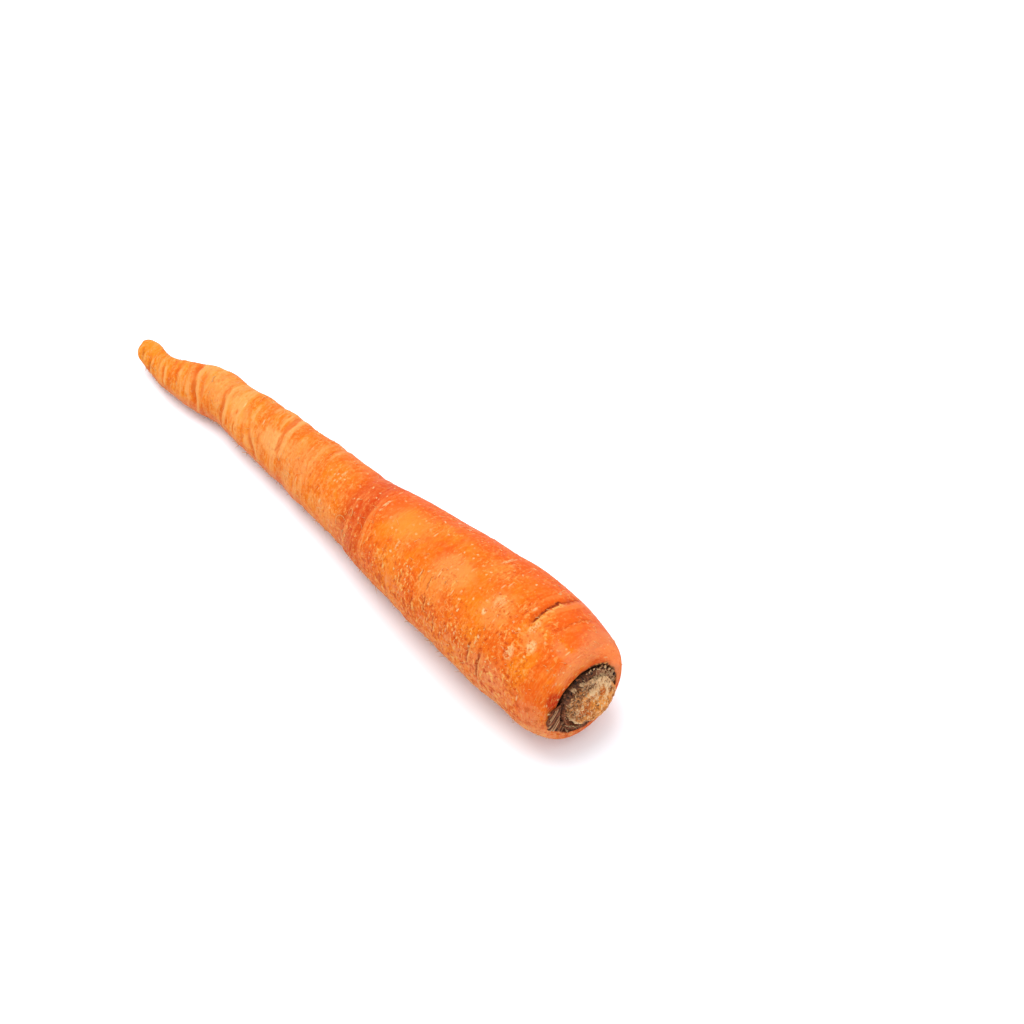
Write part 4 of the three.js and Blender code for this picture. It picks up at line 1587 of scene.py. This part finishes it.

# %% [markdown]
# ## Layer 3: the dry film
#
# Where the skin has dried it turns to a peach film, in blotches and in hairlines round the root. Both
# are noise that is read at a place squeezed round the carrot, so that it comes out long that way. The
# larger pale and pink patches are listed one by one; the broad pale one on top is partly a painted
# sheen, and a bright patch at the crown's end is painted light.

# %% The dry film
FILM_PINK = flesh(256, 152, 94)
STROKE_RED = flesh(248, 98, 22)
# a colour brighter than the skin can be, for painted light
PAINTED_LIGHT_PINK = flesh(286, 152, 76)
# pale film; the broad patch at 140 mm on top is partly a painted sheen
PALE_SPOTS = [
    (184.6, 118, 6, 20, 0.85), (164, 114, 9, 19, 1.0), (175, 86, 6, 13, 0.45), (197.5, 116, 3, 12, 0.7),
    (140, 102, 12, 26, 0.4), (161, 140, 7, 20, 0.5), (41, 108, 7, 50, 0.6), (53, 124, 7, 27, 0.5),
    (86, 120, 9, 30, 0.4), (30, 120, 3, 40, 0.5), (104, 166, 6, 26, 0.6), (62, 160, 6, 22, 0.4),
    (71, 130, 8, 26, 0.9),
]
PINK_SPOTS = [
    (209, 56, 7, 34, 0.8), (190, 174, 12, 20, 0.7), (114, 172, 8, 24, 0.7), (209, 200, 8, 24, 0.9),
    (212, 88, 5, 26, 0.9), (213, 116, 4, 20, 0.8), (207, 175, 6, 14, 0.7), (206, 104, 5, 7, 0.7),
    (217.5, 14, 2.5, 30, 1.2),
]
# painted light on the crown's end, where the lamps reach less
PAINTED_LIGHT_SPOTS = [(213.5, 42, 5, 32, 1.0)]


def dry_film(f):
    """Blotches, hairlines and listed patches of the film, one of them partly a painted sheen, and a
    patch of painted light at the crown's end. The hairlines stand up a little.
    """
    blotches = f.noise(f.scaled(f.place, (1.0, 0.4, 0.4)), 0.6, 5.0, 0.7)
    f.lay((0.25 + 0.15 * f.thin_end) * f.step(blotches, 0.5, 0.66), f.film_color)
    f.lay((0.3 - 0.2 * f.even) * f.step(blotches, 0.46, 0.32), DEEP_ORANGE)
    lines = f.noise(f.scaled(f.place, (1.0, 0.09, 0.09)), 1.4, 3.0, 0.65)
    lined = f.step(f.noise(f.place, 0.12, 2.0), 0.45, 0.65)
    f.lay((0.05 + 0.15 * f.thin_end + 0.3 * lined) * f.step(lines, 0.53, 0.68), f.film_color)
    f.lay((0.05 + 0.12 * f.thin_end) * f.step(lines, 0.46, 0.32), STROKE_RED)
    f.lay(0.7 * f.spots(PALE_SPOTS), f.film_color)
    f.lay(0.7 * f.spots(PINK_SPOTS), FILM_PINK)
    f.lay(0.8 * f.spots(PAINTED_LIGHT_SPOTS), PAINTED_LIGHT_PINK)
    f.height = f.height + 0.3 * lines


dry_film(skin_finish)
print("patches of film:", len(PALE_SPOTS) + len(PINK_SPOTS) + len(PAINTED_LIGHT_SPOTS))

# %% [markdown]
# ## Layer 4: sandy grain
#
# From close by the skin looks sanded: light grains and dark gaps about a millimetre apart, in patches,
# and more of them low on the sides. One noise gives both, its upper part the grains and its lower part
# the gaps. The grains also stand up and scatter light, so they add to height and roughness too.

# %% Sandy grain
def sandy_grain(f):
    """Light grains and dark gaps, strongest in sandy patches."""
    patches = f.noise(f.place, 0.11, 4.0, 0.62, 0.3)
    sandy = f.step(patches + 0.07 * f.thin_end + 0.1 * f.low_side, 0.44, 0.6)
    f.lay((0.3 + 0.6 * sandy) * f.calm * f.step(f.grain, 0.51, 0.62), f.film_color)
    f.lay((0.2 + 0.4 * sandy) * f.calm * f.step(f.grain, 0.46, 0.36), GROOVE_RED)
    f.height = f.height + 0.9 * (0.4 + sandy) * f.grain
    f.roughness = f.roughness + 0.12 * sandy + 0.15 * f.grain


sandy_grain(skin_finish)
print("nodes so far:", len(skin_finish.tree.nodes))

# %% [markdown]
# ## Layer 5: the low side
#
# Low on its sides the skin is pinker and muddier, in streaks that run along the root and not round it,
# with a tan crust near the shoulder. The pink there and on the under edge is partly the skin's own and
# partly a painted reflection of the pale floor. All of this fades out again right underneath, where the
# two ends of the turn would otherwise meet in a seam.

# %% The low side
MUDDY_ORANGE = flesh(218, 86, 24)
EDGE_PINK = flesh(244, 130, 92)
CRUST_TAN = flesh(262, 184, 112)
LOWER_FROM = (0.45, 0.9)
LOWER_PLACE = (90.0, 130.0)
UNDER_EDGE = (0.95, 1.4)
THIN_EDGE = (0.85, 1.3)
CRUST_FROM = (1.15, 1.4)
CRUST_TO = (1.9, 1.6)
CRUST_PLACE = (168.0, 185.0)
CRUST_PLACE_ENDS = (216.0, 210.0)


def low_side_skin(f):
    """Pink and muddy streaks, the crust near the shoulder, and a pink edge on the thin half; the pink
    is partly a painted reflection of the floor.
    """
    muddy = f.noise(f.scaled(f.place, (0.7, 1.0, 1.0)), 0.42, 4.0, 0.65)
    lower = f.step(f.turn, *LOWER_FROM) * f.beneath * f.step(f.along, *LOWER_PLACE)
    f.lay(0.6 * lower * f.step(muddy, 0.53, 0.6), FILM_PINK)
    f.lay(0.75 * lower * f.step(muddy, 0.47, 0.39), MUDDY_ORANGE)
    # the pink on the under edge is partly a painted reflection of the floor
    under_edge = f.step(f.turn, *UNDER_EDGE) * f.beneath
    lengthwise = f.noise(f.scaled(f.place, (0.25, 1.0, 1.0)), 1.1, 4.0, 0.65)
    f.lay(0.75 * under_edge * f.step(lengthwise, 0.46, 0.58), FILM_PINK)
    f.lay(0.7 * under_edge * f.step(lengthwise, 0.44, 0.36), MUDDY_ORANGE)
    crust = f.step(f.turn, *CRUST_FROM) * f.step(f.turn, *CRUST_TO)
    crust = crust * f.step(f.along, *CRUST_PLACE) * f.step(f.along, *CRUST_PLACE_ENDS)
    f.lay(0.6 * crust * f.step(lengthwise, 0.42, 0.52), CRUST_TAN)
    # the pink edge of the thin half is partly a painted reflection of the floor
    f.lay(0.5 * f.thin_end * f.step(f.turn, *THIN_EDGE) * f.beneath, EDGE_PINK)


low_side_skin(skin_finish)
print("low side from", round(float(np.degrees(LOWER_FROM[0]))), "degrees below the view side")

# %% [markdown]
# ## Layer 6: grooves and crests
#
# The grooves of the folds are painted with shade, red and, on the thin half, deep orange, and the
# crests between them with a pale film that is partly a painted highlight. The attribute `crest` knows
# both, so the colour follows the relief that was modelled, wherever it is seen from.

# %% Grooves and crests
def fold_shade_and_highlight(f):
    """Painted shade in the grooves, red or deep orange, and pale film on the crests, partly painted
    highlight; more of both on the thin half.
    """
    f.lay(0.45 * f.step(f.crest, -0.15, -1.0), GROOVE_RED)
    f.lay(0.4 * f.thin_end * f.step(f.crest, -0.05, -0.5), THIN_DEEP)
    f.lay((0.35 + 0.3 * f.thin_end) * f.step(f.crest, 0.1, 0.7), f.film_color)


fold_shade_and_highlight(skin_finish)
print("crest attribute from", round(float(crests.min()), 2), "to", round(float(crests.max()), 2))

# %% [markdown]
# ## Layer 7: cracks
#
# The skin has split in a few places, mostly low on the sides and in the crease of the shoulder. A crack
# is a dark line round the root that leans and wanders, with a pale torn lip on its crown side. In the
# crease of the shoulder the dark line is partly painted shadow. It is finer than the mesh, so it is
# colour and bump; only the crease under the largest one is a fold.

# %% Cracks
CRACK_RED = flesh(152, 50, 12)
FLECK_PALE = flesh(268, 200, 112)
# each crack: place, angle, half width in degrees, lean in mm per radian, half thickness in mm, strength
# the rows at 193.6 and 194.0 mm, in the crease of the shoulder, are partly painted shadow
CRACKS = [
    (194.0, 88, 20, 1.0, 0.36, 1.0), (193.6, 58, 18, 1.0, 0.24, 0.4), (182.6, 168, 13, 0.6, 0.3, 0.45),
    (187.0, 172, 15, 0.4, 0.32, 0.6), (155.0, 136, 7, 2.2, 0.3, 0.45), (161.0, 157, 9, 2.6, 0.3, 0.55),
    (159.6, 137, 8, 1.8, 0.32, 0.5), (166.5, 168, 9, 2.0, 0.28, 0.5), (155.5, 168, 9, 1.6, 0.28, 0.5),
    (148.0, 152, 8, 1.6, 0.3, 0.4), (200.3, 74, 24, 0.0, 0.2, 0.25), (8.2, 162, 26, 0.4, 0.3, 0.6),
    (4.4, 138, 36, 0.8, 0.5, 0.3), (12.0, 116, 30, 1.2, 0.45, 0.25), (136, 42, 24, 1.0, 0.12, 0.5),
]


def cracks(f):
    """Dark lines with torn lips. A point is in a crack where its distance past the crack's line is
    less than the crack's thickness, and in the torn lip where it is a little more than that."""
    dark, torn = 0.0, 0.0
    for at, angle, reach, lean, thick, strength in CRACKS:
        round_here = f.turn - np.radians(angle - VIEW_SIDE)
        past = f.along - at - lean * round_here + (3.2 - 1.6 * strength) * f.ragged
        inside = f.step(round_here.magnitude(), np.radians(reach), 0.7 * np.radians(reach))
        dark = dark + strength * inside * f.step(past.magnitude(), 1.3 * thick, 0.1 * thick)
        beyond = f.step(past, 0.7 * thick, 1.5 * thick) * f.step(past, 4.5 * thick, 2.5 * thick)
        torn = torn + strength * inside * beyond
    f.lay(0.8 * torn.clamped() * f.step(f.grain, 0.42, 0.54), FLECK_PALE)
    f.lay(dark.clamped() * f.step(f.grain, 0.74, 0.54), CRACK_RED)
    f.height = f.height + 0.5 * torn - 1.2 * dark


cracks(skin_finish)
print("cracks:", len(CRACKS), " nodes so far:", len(skin_finish.tree.nodes))

# %% [markdown]
# ## Layer 8: flecks
#
# Between the grains the skin carries pale and red flecks, a little longer round the root than along it,
# and crowded on the rough lower part of the thick half. The crowd is a second, slower noise that lets
# more or fewer of them through.

# %% Flecks
FLECK_RED = flesh(210, 70, 14)
ROUGH_FROM = (0.05, 0.6)
ROUGH_TO = (2.2, 1.7)
ROUGH_PLACE = (125.0, 150.0)
ROUGH_PLACE_ENDS = (199.0, 190.0)


def rough_part(f):
    """1 on the rough lower part of the thick half. It ends nearer the tip the lower it is."""
    rough = f.step(f.turn, *ROUGH_FROM) * f.step(f.along, *ROUGH_PLACE) * f.step(f.turn, *ROUGH_TO)
    return rough * f.step(f.along - 8.0 * f.turn, *ROUGH_PLACE_ENDS)


def flecks_of_skin(f, rough):
    """Pale and red flecks, which also stand up."""
    flecks = f.noise(f.scaled(f.place, (1.0, 0.6, 0.6)), 1.15, 3.0, 0.6, 0.5)
    many = f.noise(f.place, 0.13, 4.0, 0.6) + 0.07 * f.low_side + 0.06 * rough - 0.04 * f.thin_end
    crowd = f.step(many, 0.48, 0.58)
    f.lay((0.03 + 0.6 * crowd + 0.25 * rough) * f.calm * f.step(flecks, 0.56, 0.65), FLECK_PALE)
    f.lay((0.08 + 0.5 * crowd + 0.3 * rough) * f.calm * f.step(flecks, 0.43, 0.35), FLECK_RED)
    f.height = f.height + 1.1 * (0.3 + crowd) * f.calm * flecks


rough = rough_part(skin_finish)
flecks_of_skin(skin_finish, rough)
print("nodes so far:", len(skin_finish.tree.nodes))

# %% [markdown]
# ## Layer 9: dots, streaks and scuffs
#
# The pale dots are pores and the ends of side roots. A Voronoi texture scatters points about 2 mm
# apart; a dot is where a point is near, and the point's own random colour says whether it gets a dot
# and how large. Streaks are the same, stretched round the root, and scuffs are listed one by one. A few
# dark dots of soil lie between them.

# %% Dots, streaks, scuffs and soil
DOT_PALE = flesh(272, 226, 160)
DOT_SMALL = 0.09
DOT_GROWTH = 0.17
SCUFFS = [
    (194.6, 138, 1.1, 7, 0.7), (198.5, 121, 1.3, 6, 0.7), (181.8, 126, 0.9, 4, 1.0),
    (126, 98, 0.7, 13, 0.9), (141, 128, 0.6, 8, 0.7), (195.6, 108, 0.9, 7, 0.7),
    (173, 70, 0.7, 10, 0.7), (104, 102, 0.6, 13, 0.6), (183.5, 112, 2.2, 7, 0.4),
]


def dots_of_skin(f, rough):
    """Round pale dots, drawn away from round by noise, in clusters."""
    wobble = f.scaled(f.noise(f.place, 1.6, 2.0).other("Color"), (1.3, 1.3, 1.3))
    strewn = f.add("ShaderNodeVectorMath", {"operation": "ADD"}, {0: f.place, 1: wobble})
    cell = f.cells(strewn, 0.55)
    chance = cell.other("Color")
    size = DOT_SMALL + DOT_GROWTH * f.step(chance, 0.35, 1.0)
    dots = f.step(cell - size, 0.07, -0.07) * f.step(chance + 0.12 * rough, 0.5, 0.64)
    clustered = f.step(f.noise(f.place, 0.16, 2.0), 0.4, 0.62)
    dots = dots * (0.3 + 0.7 * clustered) * (1.0 - 0.8 * f.thin_end) * (1.0 - 0.7 * f.even)
    return dots * (1.0 - 0.5 * f.crown_end)


def streaks_of_skin(f):
    """Short pale streaks round the root."""
    streak = f.cells(f.scaled(f.place, (1.0, 0.3, 0.3)), 0.42)
    return f.step(streak, 0.16, 0.06) * f.step(streak.other("Color"), 0.5, 0.6)


def dots_and_scuffs(f, rough):
    """Everything pale that is small and stands up, and the dots of soil."""
    scuffed = f.spots(SCUFFS, 1.8) * f.step(f.grain, 0.38, 0.56)
    specks = (dots_of_skin(f, rough) + 0.6 * streaks_of_skin(f) + scuffed).clamped()
    f.lay(0.85 * specks, DOT_PALE)
    pores = f.cells(f.place, 0.8)
    soil = f.step(pores, 0.24, 0.14) * f.step(pores.other("Color"), 0.8, 0.86)
    f.lay(0.5 * soil * (0.2 + 0.4 * f.low_side), CRACK_RED)
    f.height = f.height + 0.7 * specks
    f.roughness = f.roughness + 0.1 * specks


dots_and_scuffs(skin_finish, rough)
print("scuffs:", len(SCUFFS), " nodes so far:", len(skin_finish.tree.nodes))

# %% [markdown]
# ## The crown's stain, and the surface
#
# The last layer is the stain that creeps out of the hollow: dark as soil, and a scarred tan on one
# side. Then everything goes into the shader. The heights become bump. A little light goes into the
# flesh and comes out redder, which keeps the shaded side warm. The dry film has hardly any gloss.

# %% The stain and the surface
SOIL_BROWN = flesh(96, 52, 30)
SCAR_TAN = flesh(216, 146, 80)
SCARRED_FROM = (-0.5, -1.0)
SCARRED_TO = (-2.9, -2.4)
SKIN_BUMP = 0.00022


def crown_stain(f):
    """The brown stain of the hollow, and its scarred part."""
    scarred = f.step(f.turn, *SCARRED_FROM) * f.step(f.turn, *SCARRED_TO)
    stain = f.mix(scarred * f.step(f.grain, 0.44, 0.58), SOIL_BROWN, SCAR_TAN)
    f.lay(f.attribute("hollow", "Fac"), stain)


crown_stain(skin_finish)
skin_finish.set(
    Base_Color=skin_finish.color,
    Roughness=skin_finish.roughness.clamped(),
    Normal=skin_finish.bump(skin_finish.height, SKIN_BUMP),
    Subsurface_Weight=0.1,
    Subsurface_Scale=0.0015,
    Subsurface_Radius=(1.0, 0.25, 0.06),
    Specular_IOR_Level=0.04,
)
taproot.data.materials.append(skin_finish.material)
print("nodes of the skin's material:", len(skin_finish.tree.nodes))

# %% [markdown]
# ## Dried stalk
#
# Dead stalk is three colours at once: nearly black where it is deep, brown on its faces, and grey-tan
# where an edge has bleached. On the bed, where `crest` is the relief, the black in its hollows is
# partly painted shade and the pale on its ridges partly painted highlight; on flakes, crumbs and
# strands `crest` is a drawn tone. `grain` is kept with each corner, so one noise that is read there
# stripes the bed, the flakes and the strands alike.

# %% Dried stalk
STALK_BLACK = flesh(44, 25, 16)
STALK_BROWN = flesh(124, 72, 42)
STALK_GREY = flesh(188, 114, 62)
STALK_PALE = flesh(236, 192, 142)
TONGUE_BROWN = flesh(152, 78, 40)
PER_METRE = (1000.0, 1000.0, 1000.0)


def dried_stalk():
    """Black to brown to pale by how far a corner stands up, which on the bed is partly painted shade
    and highlight, striped by the fibres, with crumbs.
    """
    f = Finish("dried_stalk")
    grain = f.attribute("grain", "Vector")
    crest = f.attribute("crest", "Fac")
    pale = f.attribute("pale", "Fac")
    place = f.scaled(f.add("ShaderNodeTexCoord", output="Object"), PER_METRE)
    stripes = f.noise(grain, 1.7, 4.0, 0.65)
    crumbly = f.noise(place, 1.9, 3.0, 0.7)
    # on the bed, black in the hollows is partly painted shade
    f.color = f.mix(f.step(crest, -0.5, 0.45), STALK_BLACK, STALK_BROWN)
    f.lay(0.9 * pale * f.step(crest, -0.9, 0.3), TONGUE_BROWN)
    f.lay(0.85 * f.step(crest, 0.45, 1.3), STALK_PALE)
    f.lay(0.75 * f.step(stripes, 0.53, 0.66) * f.step(crest, -0.4, 0.6), STALK_GREY)
    f.lay(0.65 * f.step(stripes, 0.46, 0.33), STALK_BLACK)
    f.lay(0.5 * f.step(crumbly, 0.6, 0.72), STALK_GREY)
    f.set(Base_Color=f.color, Roughness=0.75 + 0.2 * crumbly)
    f.set(Normal=f.bump(stripes + 0.6 * crumbly, 0.0003), Specular_IOR_Level=0.25)
    return f


stalk_finish = dried_stalk()
for piece in (collar, flakes, strands, crumbs):
    piece.data.materials.append(stalk_finish.material)
print("nodes of the dried stalk:", len(stalk_finish.tree.nodes))

# %% [markdown]
# ## The cut knob
#
# The knob is paler than the stalks round it, with cream where it is dry, orange flesh and rust where
# the trimming went deep, pale crumbs and brown pits. The patches are listed in mm across and up from
# the middle of its face, and noise tears their edges.

# %% The cut knob
KNOB_TAN = flesh(260, 170, 88)
KNOB_PALE = flesh(272, 228, 172)
KNOB_BROWN = flesh(206, 124, 62)
KNOB_DARK = flesh(176, 100, 44)
KNOB_ORANGE = flesh(278, 174, 66)
KNOB_RUST = flesh(224, 104, 14)
PIT_BROWN = flesh(150, 84, 40)
# each patch: middle across and up, half width and half height, all in mm
KNOB_CREAM = [(2.6, 6.2, 5.0, 3.4), (6.6, 2.6, 1.8, 2.6)]
KNOB_GLOW = [(4.4, -2.6, 3.4, 3.8), (1.6, -1.4, 3.0, 2.6)]
KNOB_RUSTY = [
    (-1.2, -0.2, 1.5, 1.7), (-3.3, -1.7, 1.7, 1.5), (-0.8, -3.6, 1.4, 1.1), (4.2, 1.6, 1.1, 1.2),
]


def knob_patches(f, face, torn, table):
    """How strongly any patch of a table covers the knob here."""
    across = f.add("ShaderNodeSeparateXYZ", {}, {"Vector": face}, "X")
    up = across.other("Y")
    total = 0.0
    for middle_across, middle_up, wide, high in table:
        far_across = (across - middle_across) / wide
        far_up = (up - middle_up) / high
        far = (far_across * far_across + far_up * far_up) ** 0.5 + 1.6 * (torn - 0.5)
        total = total + f.step(far, 1.15, 0.55)
    return total.clamped()


def cut_stalk():
    """Brown to tan in slow noise, then the patches, the fibres, pale crumbs and brown pits, and on one
    side the dark of the stalks that run on into the knob."""
    f = Finish("cut_stalk")
    crest = f.attribute("crest", "Fac")
    face = f.attribute("face", "Vector")
    slow = f.noise(face, 0.45, 3.0, 0.6)
    crumbly = f.noise(face, 1.3, 4.0, 0.65)
    grain = f.noise(face, 2.4, 3.0, 0.6)
    fibrous = f.noise(f.scaled(face, (1.0, 0.3, 1.0)), 1.7, 4.0, 0.6)
    f.color = f.mix(f.step(slow, 0.36, 0.6), KNOB_BROWN, KNOB_TAN)
    f.lay(0.8 * knob_patches(f, face, crumbly, KNOB_GLOW), KNOB_ORANGE)
    f.lay(0.75 * knob_patches(f, face, crumbly, KNOB_CREAM), KNOB_PALE)
    f.lay(0.75 * f.step(fibrous, 0.52, 0.62), KNOB_PALE)
    f.lay(0.65 * f.step(fibrous, 0.46, 0.37), KNOB_DARK)
    rusty = knob_patches(f, face, crumbly, KNOB_RUSTY)
    f.lay(0.95 * rusty * f.step(grain, 0.36, 0.52), KNOB_RUST)
    f.lay(0.8 * f.step(crest + 2.4 * (grain - 0.5), 0.3, 0.75), KNOB_PALE)
    f.lay(0.8 * f.step(crest + 2.4 * (crumbly - 0.5), -0.35, -0.85), PIT_BROWN)
    base = f.mix(f.step(crumbly, 0.4, 0.58), STALK_BLACK, STALK_GREY)
    base = f.mix(0.7 * f.step(grain, 0.55, 0.65), base, STALK_PALE)
    f.lay(0.85 * f.attribute("brown", "Fac") * f.step(crumbly, 0.75, 0.45), base)
    f.lay(0.8 * f.attribute("lip", "Fac"), KNOB_PALE)
    f.set(Base_Color=f.color, Roughness=0.78 + 0.15 * grain)
    f.set(Normal=f.bump(0.8 * crumbly + 0.5 * grain + fibrous, 0.0005), Specular_IOR_Level=0.2)
    f.set(Subsurface_Weight=0.1, Subsurface_Scale=0.001, Subsurface_Radius=(1.0, 0.5, 0.25))
    return f


knob_finish = cut_stalk()
butt.data.materials.append(knob_finish.material)
print("nodes of the cut knob:", len(knob_finish.tree.nodes))

# %% [markdown]
# ## Threads
#
# Fuzz and rootlets are too thin to show a pattern, so one tan that turns to peach from hair to hair is
# enough. The noise is read at Object coordinates: the objects sit at the origin, so these are the
# places in the carrot's own frame, in metres, made millimetres by a scale of 1000.

# %% Threads
THREAD_TAN = flesh(240, 190, 130)


def threads():
    """Tan to peach by slow noise."""
    f = Finish("threads")
    place = f.scaled(f.add("ShaderNodeTexCoord", output="Object"), PER_METRE)
    tone = f.noise(place, 0.4, 2.0)
    f.color = f.mix(f.step(tone, 0.4, 0.6), THREAD_TAN, FILM_PEACH)
    f.set(Base_Color=f.color, Roughness=0.6, Specular_IOR_Level=0.2)
    return f


thread_finish = threads()
for piece in (fuzz, rootlets):
    piece.data.materials.append(thread_finish.material)
print("nodes of the threads:", len(thread_finish.tree.nodes))

# %% [markdown] ## The floor  The floor catches a soft shadow and is white everywhere else: one face,
# far larger than the view, in a dull white that leans to blue because the carrot's own glow warms it.

# %% The floor
FLOOR_HALF = 3.0
FLOOR_WHITE = (0.87, 0.9, 0.95)
FLOOR_CORNERS = [(-1, -1), (1, -1), (1, 1), (-1, 1)]

floor_mesh = bpy.data.meshes.new("studio_floor")
floor_points = [(FLOOR_HALF * x, FLOOR_HALF * y, 0.0) for x, y in FLOOR_CORNERS]
floor_mesh.from_pydata(floor_points, [], [(0, 1, 2, 3)])
studio_floor = bpy.data.objects.new("studio_floor", floor_mesh)
bpy.context.scene.collection.objects.link(studio_floor)
floor_finish = Finish("studio_white")
floor_finish.set(Base_Color=FLOOR_WHITE, Roughness=0.9, Specular_IOR_Level=0.1)
floor_mesh.materials.append(floor_finish.material)
print("floor, m:", 2 * FLOOR_HALF, "by", 2 * FLOOR_HALF)

# %% [markdown]
# ## The camera
#
# The camera looks down at the crown's end from 0.74 m away with an 85 mm lens. A longer lens from
# further off would flatten the taper, and a shorter one would make the crown too large. The light is
# placed by its directions `right` and `away`.

# %% The camera
VIEW_AZIMUTH = np.radians(49.56)
VIEW_ELEVATION = np.radians(44)
VIEW_TARGET = np.array([0.0228, 0.0428, 0])
VIEW_DISTANCE = 0.7376
LENS_MM = 85
SENSOR_MM = 36

scene = bpy.context.scene
back = np.array([
    np.sin(VIEW_AZIMUTH) * np.cos(VIEW_ELEVATION),
    -np.cos(VIEW_AZIMUTH) * np.cos(VIEW_ELEVATION),
    np.sin(VIEW_ELEVATION),
])
right = np.array([np.cos(VIEW_AZIMUTH), np.sin(VIEW_AZIMUTH), 0])
away = np.array([-np.sin(VIEW_AZIMUTH), np.cos(VIEW_AZIMUTH), 0])


def aim(obj, place, target):
    """Puts an object at a place, looking at a target."""
    direction = Vector(target) - Vector(place)
    obj.location = place
    obj.rotation_euler = direction.to_track_quat("-Z", "Y").to_euler()


camera_data = bpy.data.cameras.new("camera")
camera_data.lens = LENS_MM
camera_data.sensor_width = SENSOR_MM
camera = bpy.data.objects.new("camera", camera_data)
scene.collection.objects.link(camera)
aim(camera, VIEW_TARGET + VIEW_DISTANCE * back, VIEW_TARGET)
scene.camera = camera
print("camera at, m:", np.round(camera.location, 3))

# %% [markdown]
# ## The light
#
# A bright, even world is the white room, and takes most of the shadow away. The key is a wide disk
# almost overhead, a little behind and to the left, and gives the soft shadow on the near side. The
# fill is low, out beyond the crown, and lights its hollow. The Standard view transform keeps the white
# floor white, where Blender's usual one would turn it grey.

# %% The light
WORLD_STRENGTH = 1.15
KEY_PLACE = 0.25 * away - 0.25 * right + np.array([0, 0, 1.2])
KEY_SIZE = 1.2
KEY_WATTS = 12
FILL_PLACE = (1.1, -0.1, 0.45)
FILL_TARGET = (0.1, 0, 0)
FILL_SIZE = 0.8
FILL_WATTS = 2


def softbox(name, place, target, size, watts):
    """A round area light at a place, aimed at a target. size is its width in metres."""
    light = bpy.data.lights.new(name, "AREA")
    light.shape = "DISK"
    light.size = size
    light.energy = watts
    obj = bpy.data.objects.new(name, light)
    scene.collection.objects.link(obj)
    aim(obj, place, target)


scene.view_settings.view_transform = "Standard"
world = bpy.data.worlds.new("studio")
world.use_nodes = True
sky = world.node_tree.nodes["Background"]
sky.inputs["Color"].default_value = (1, 1, 1, 1)
sky.inputs["Strength"].default_value = WORLD_STRENGTH
scene.world = world
softbox("key", KEY_PLACE, (0, 0, 0), KEY_SIZE, KEY_WATTS)
softbox("fill", FILL_PLACE, FILL_TARGET, FILL_SIZE, FILL_WATTS)

# %% [markdown] ## Check and finish  The dressed carrot may be hardly larger than the packed one, so
# both boxes are written down and compared.
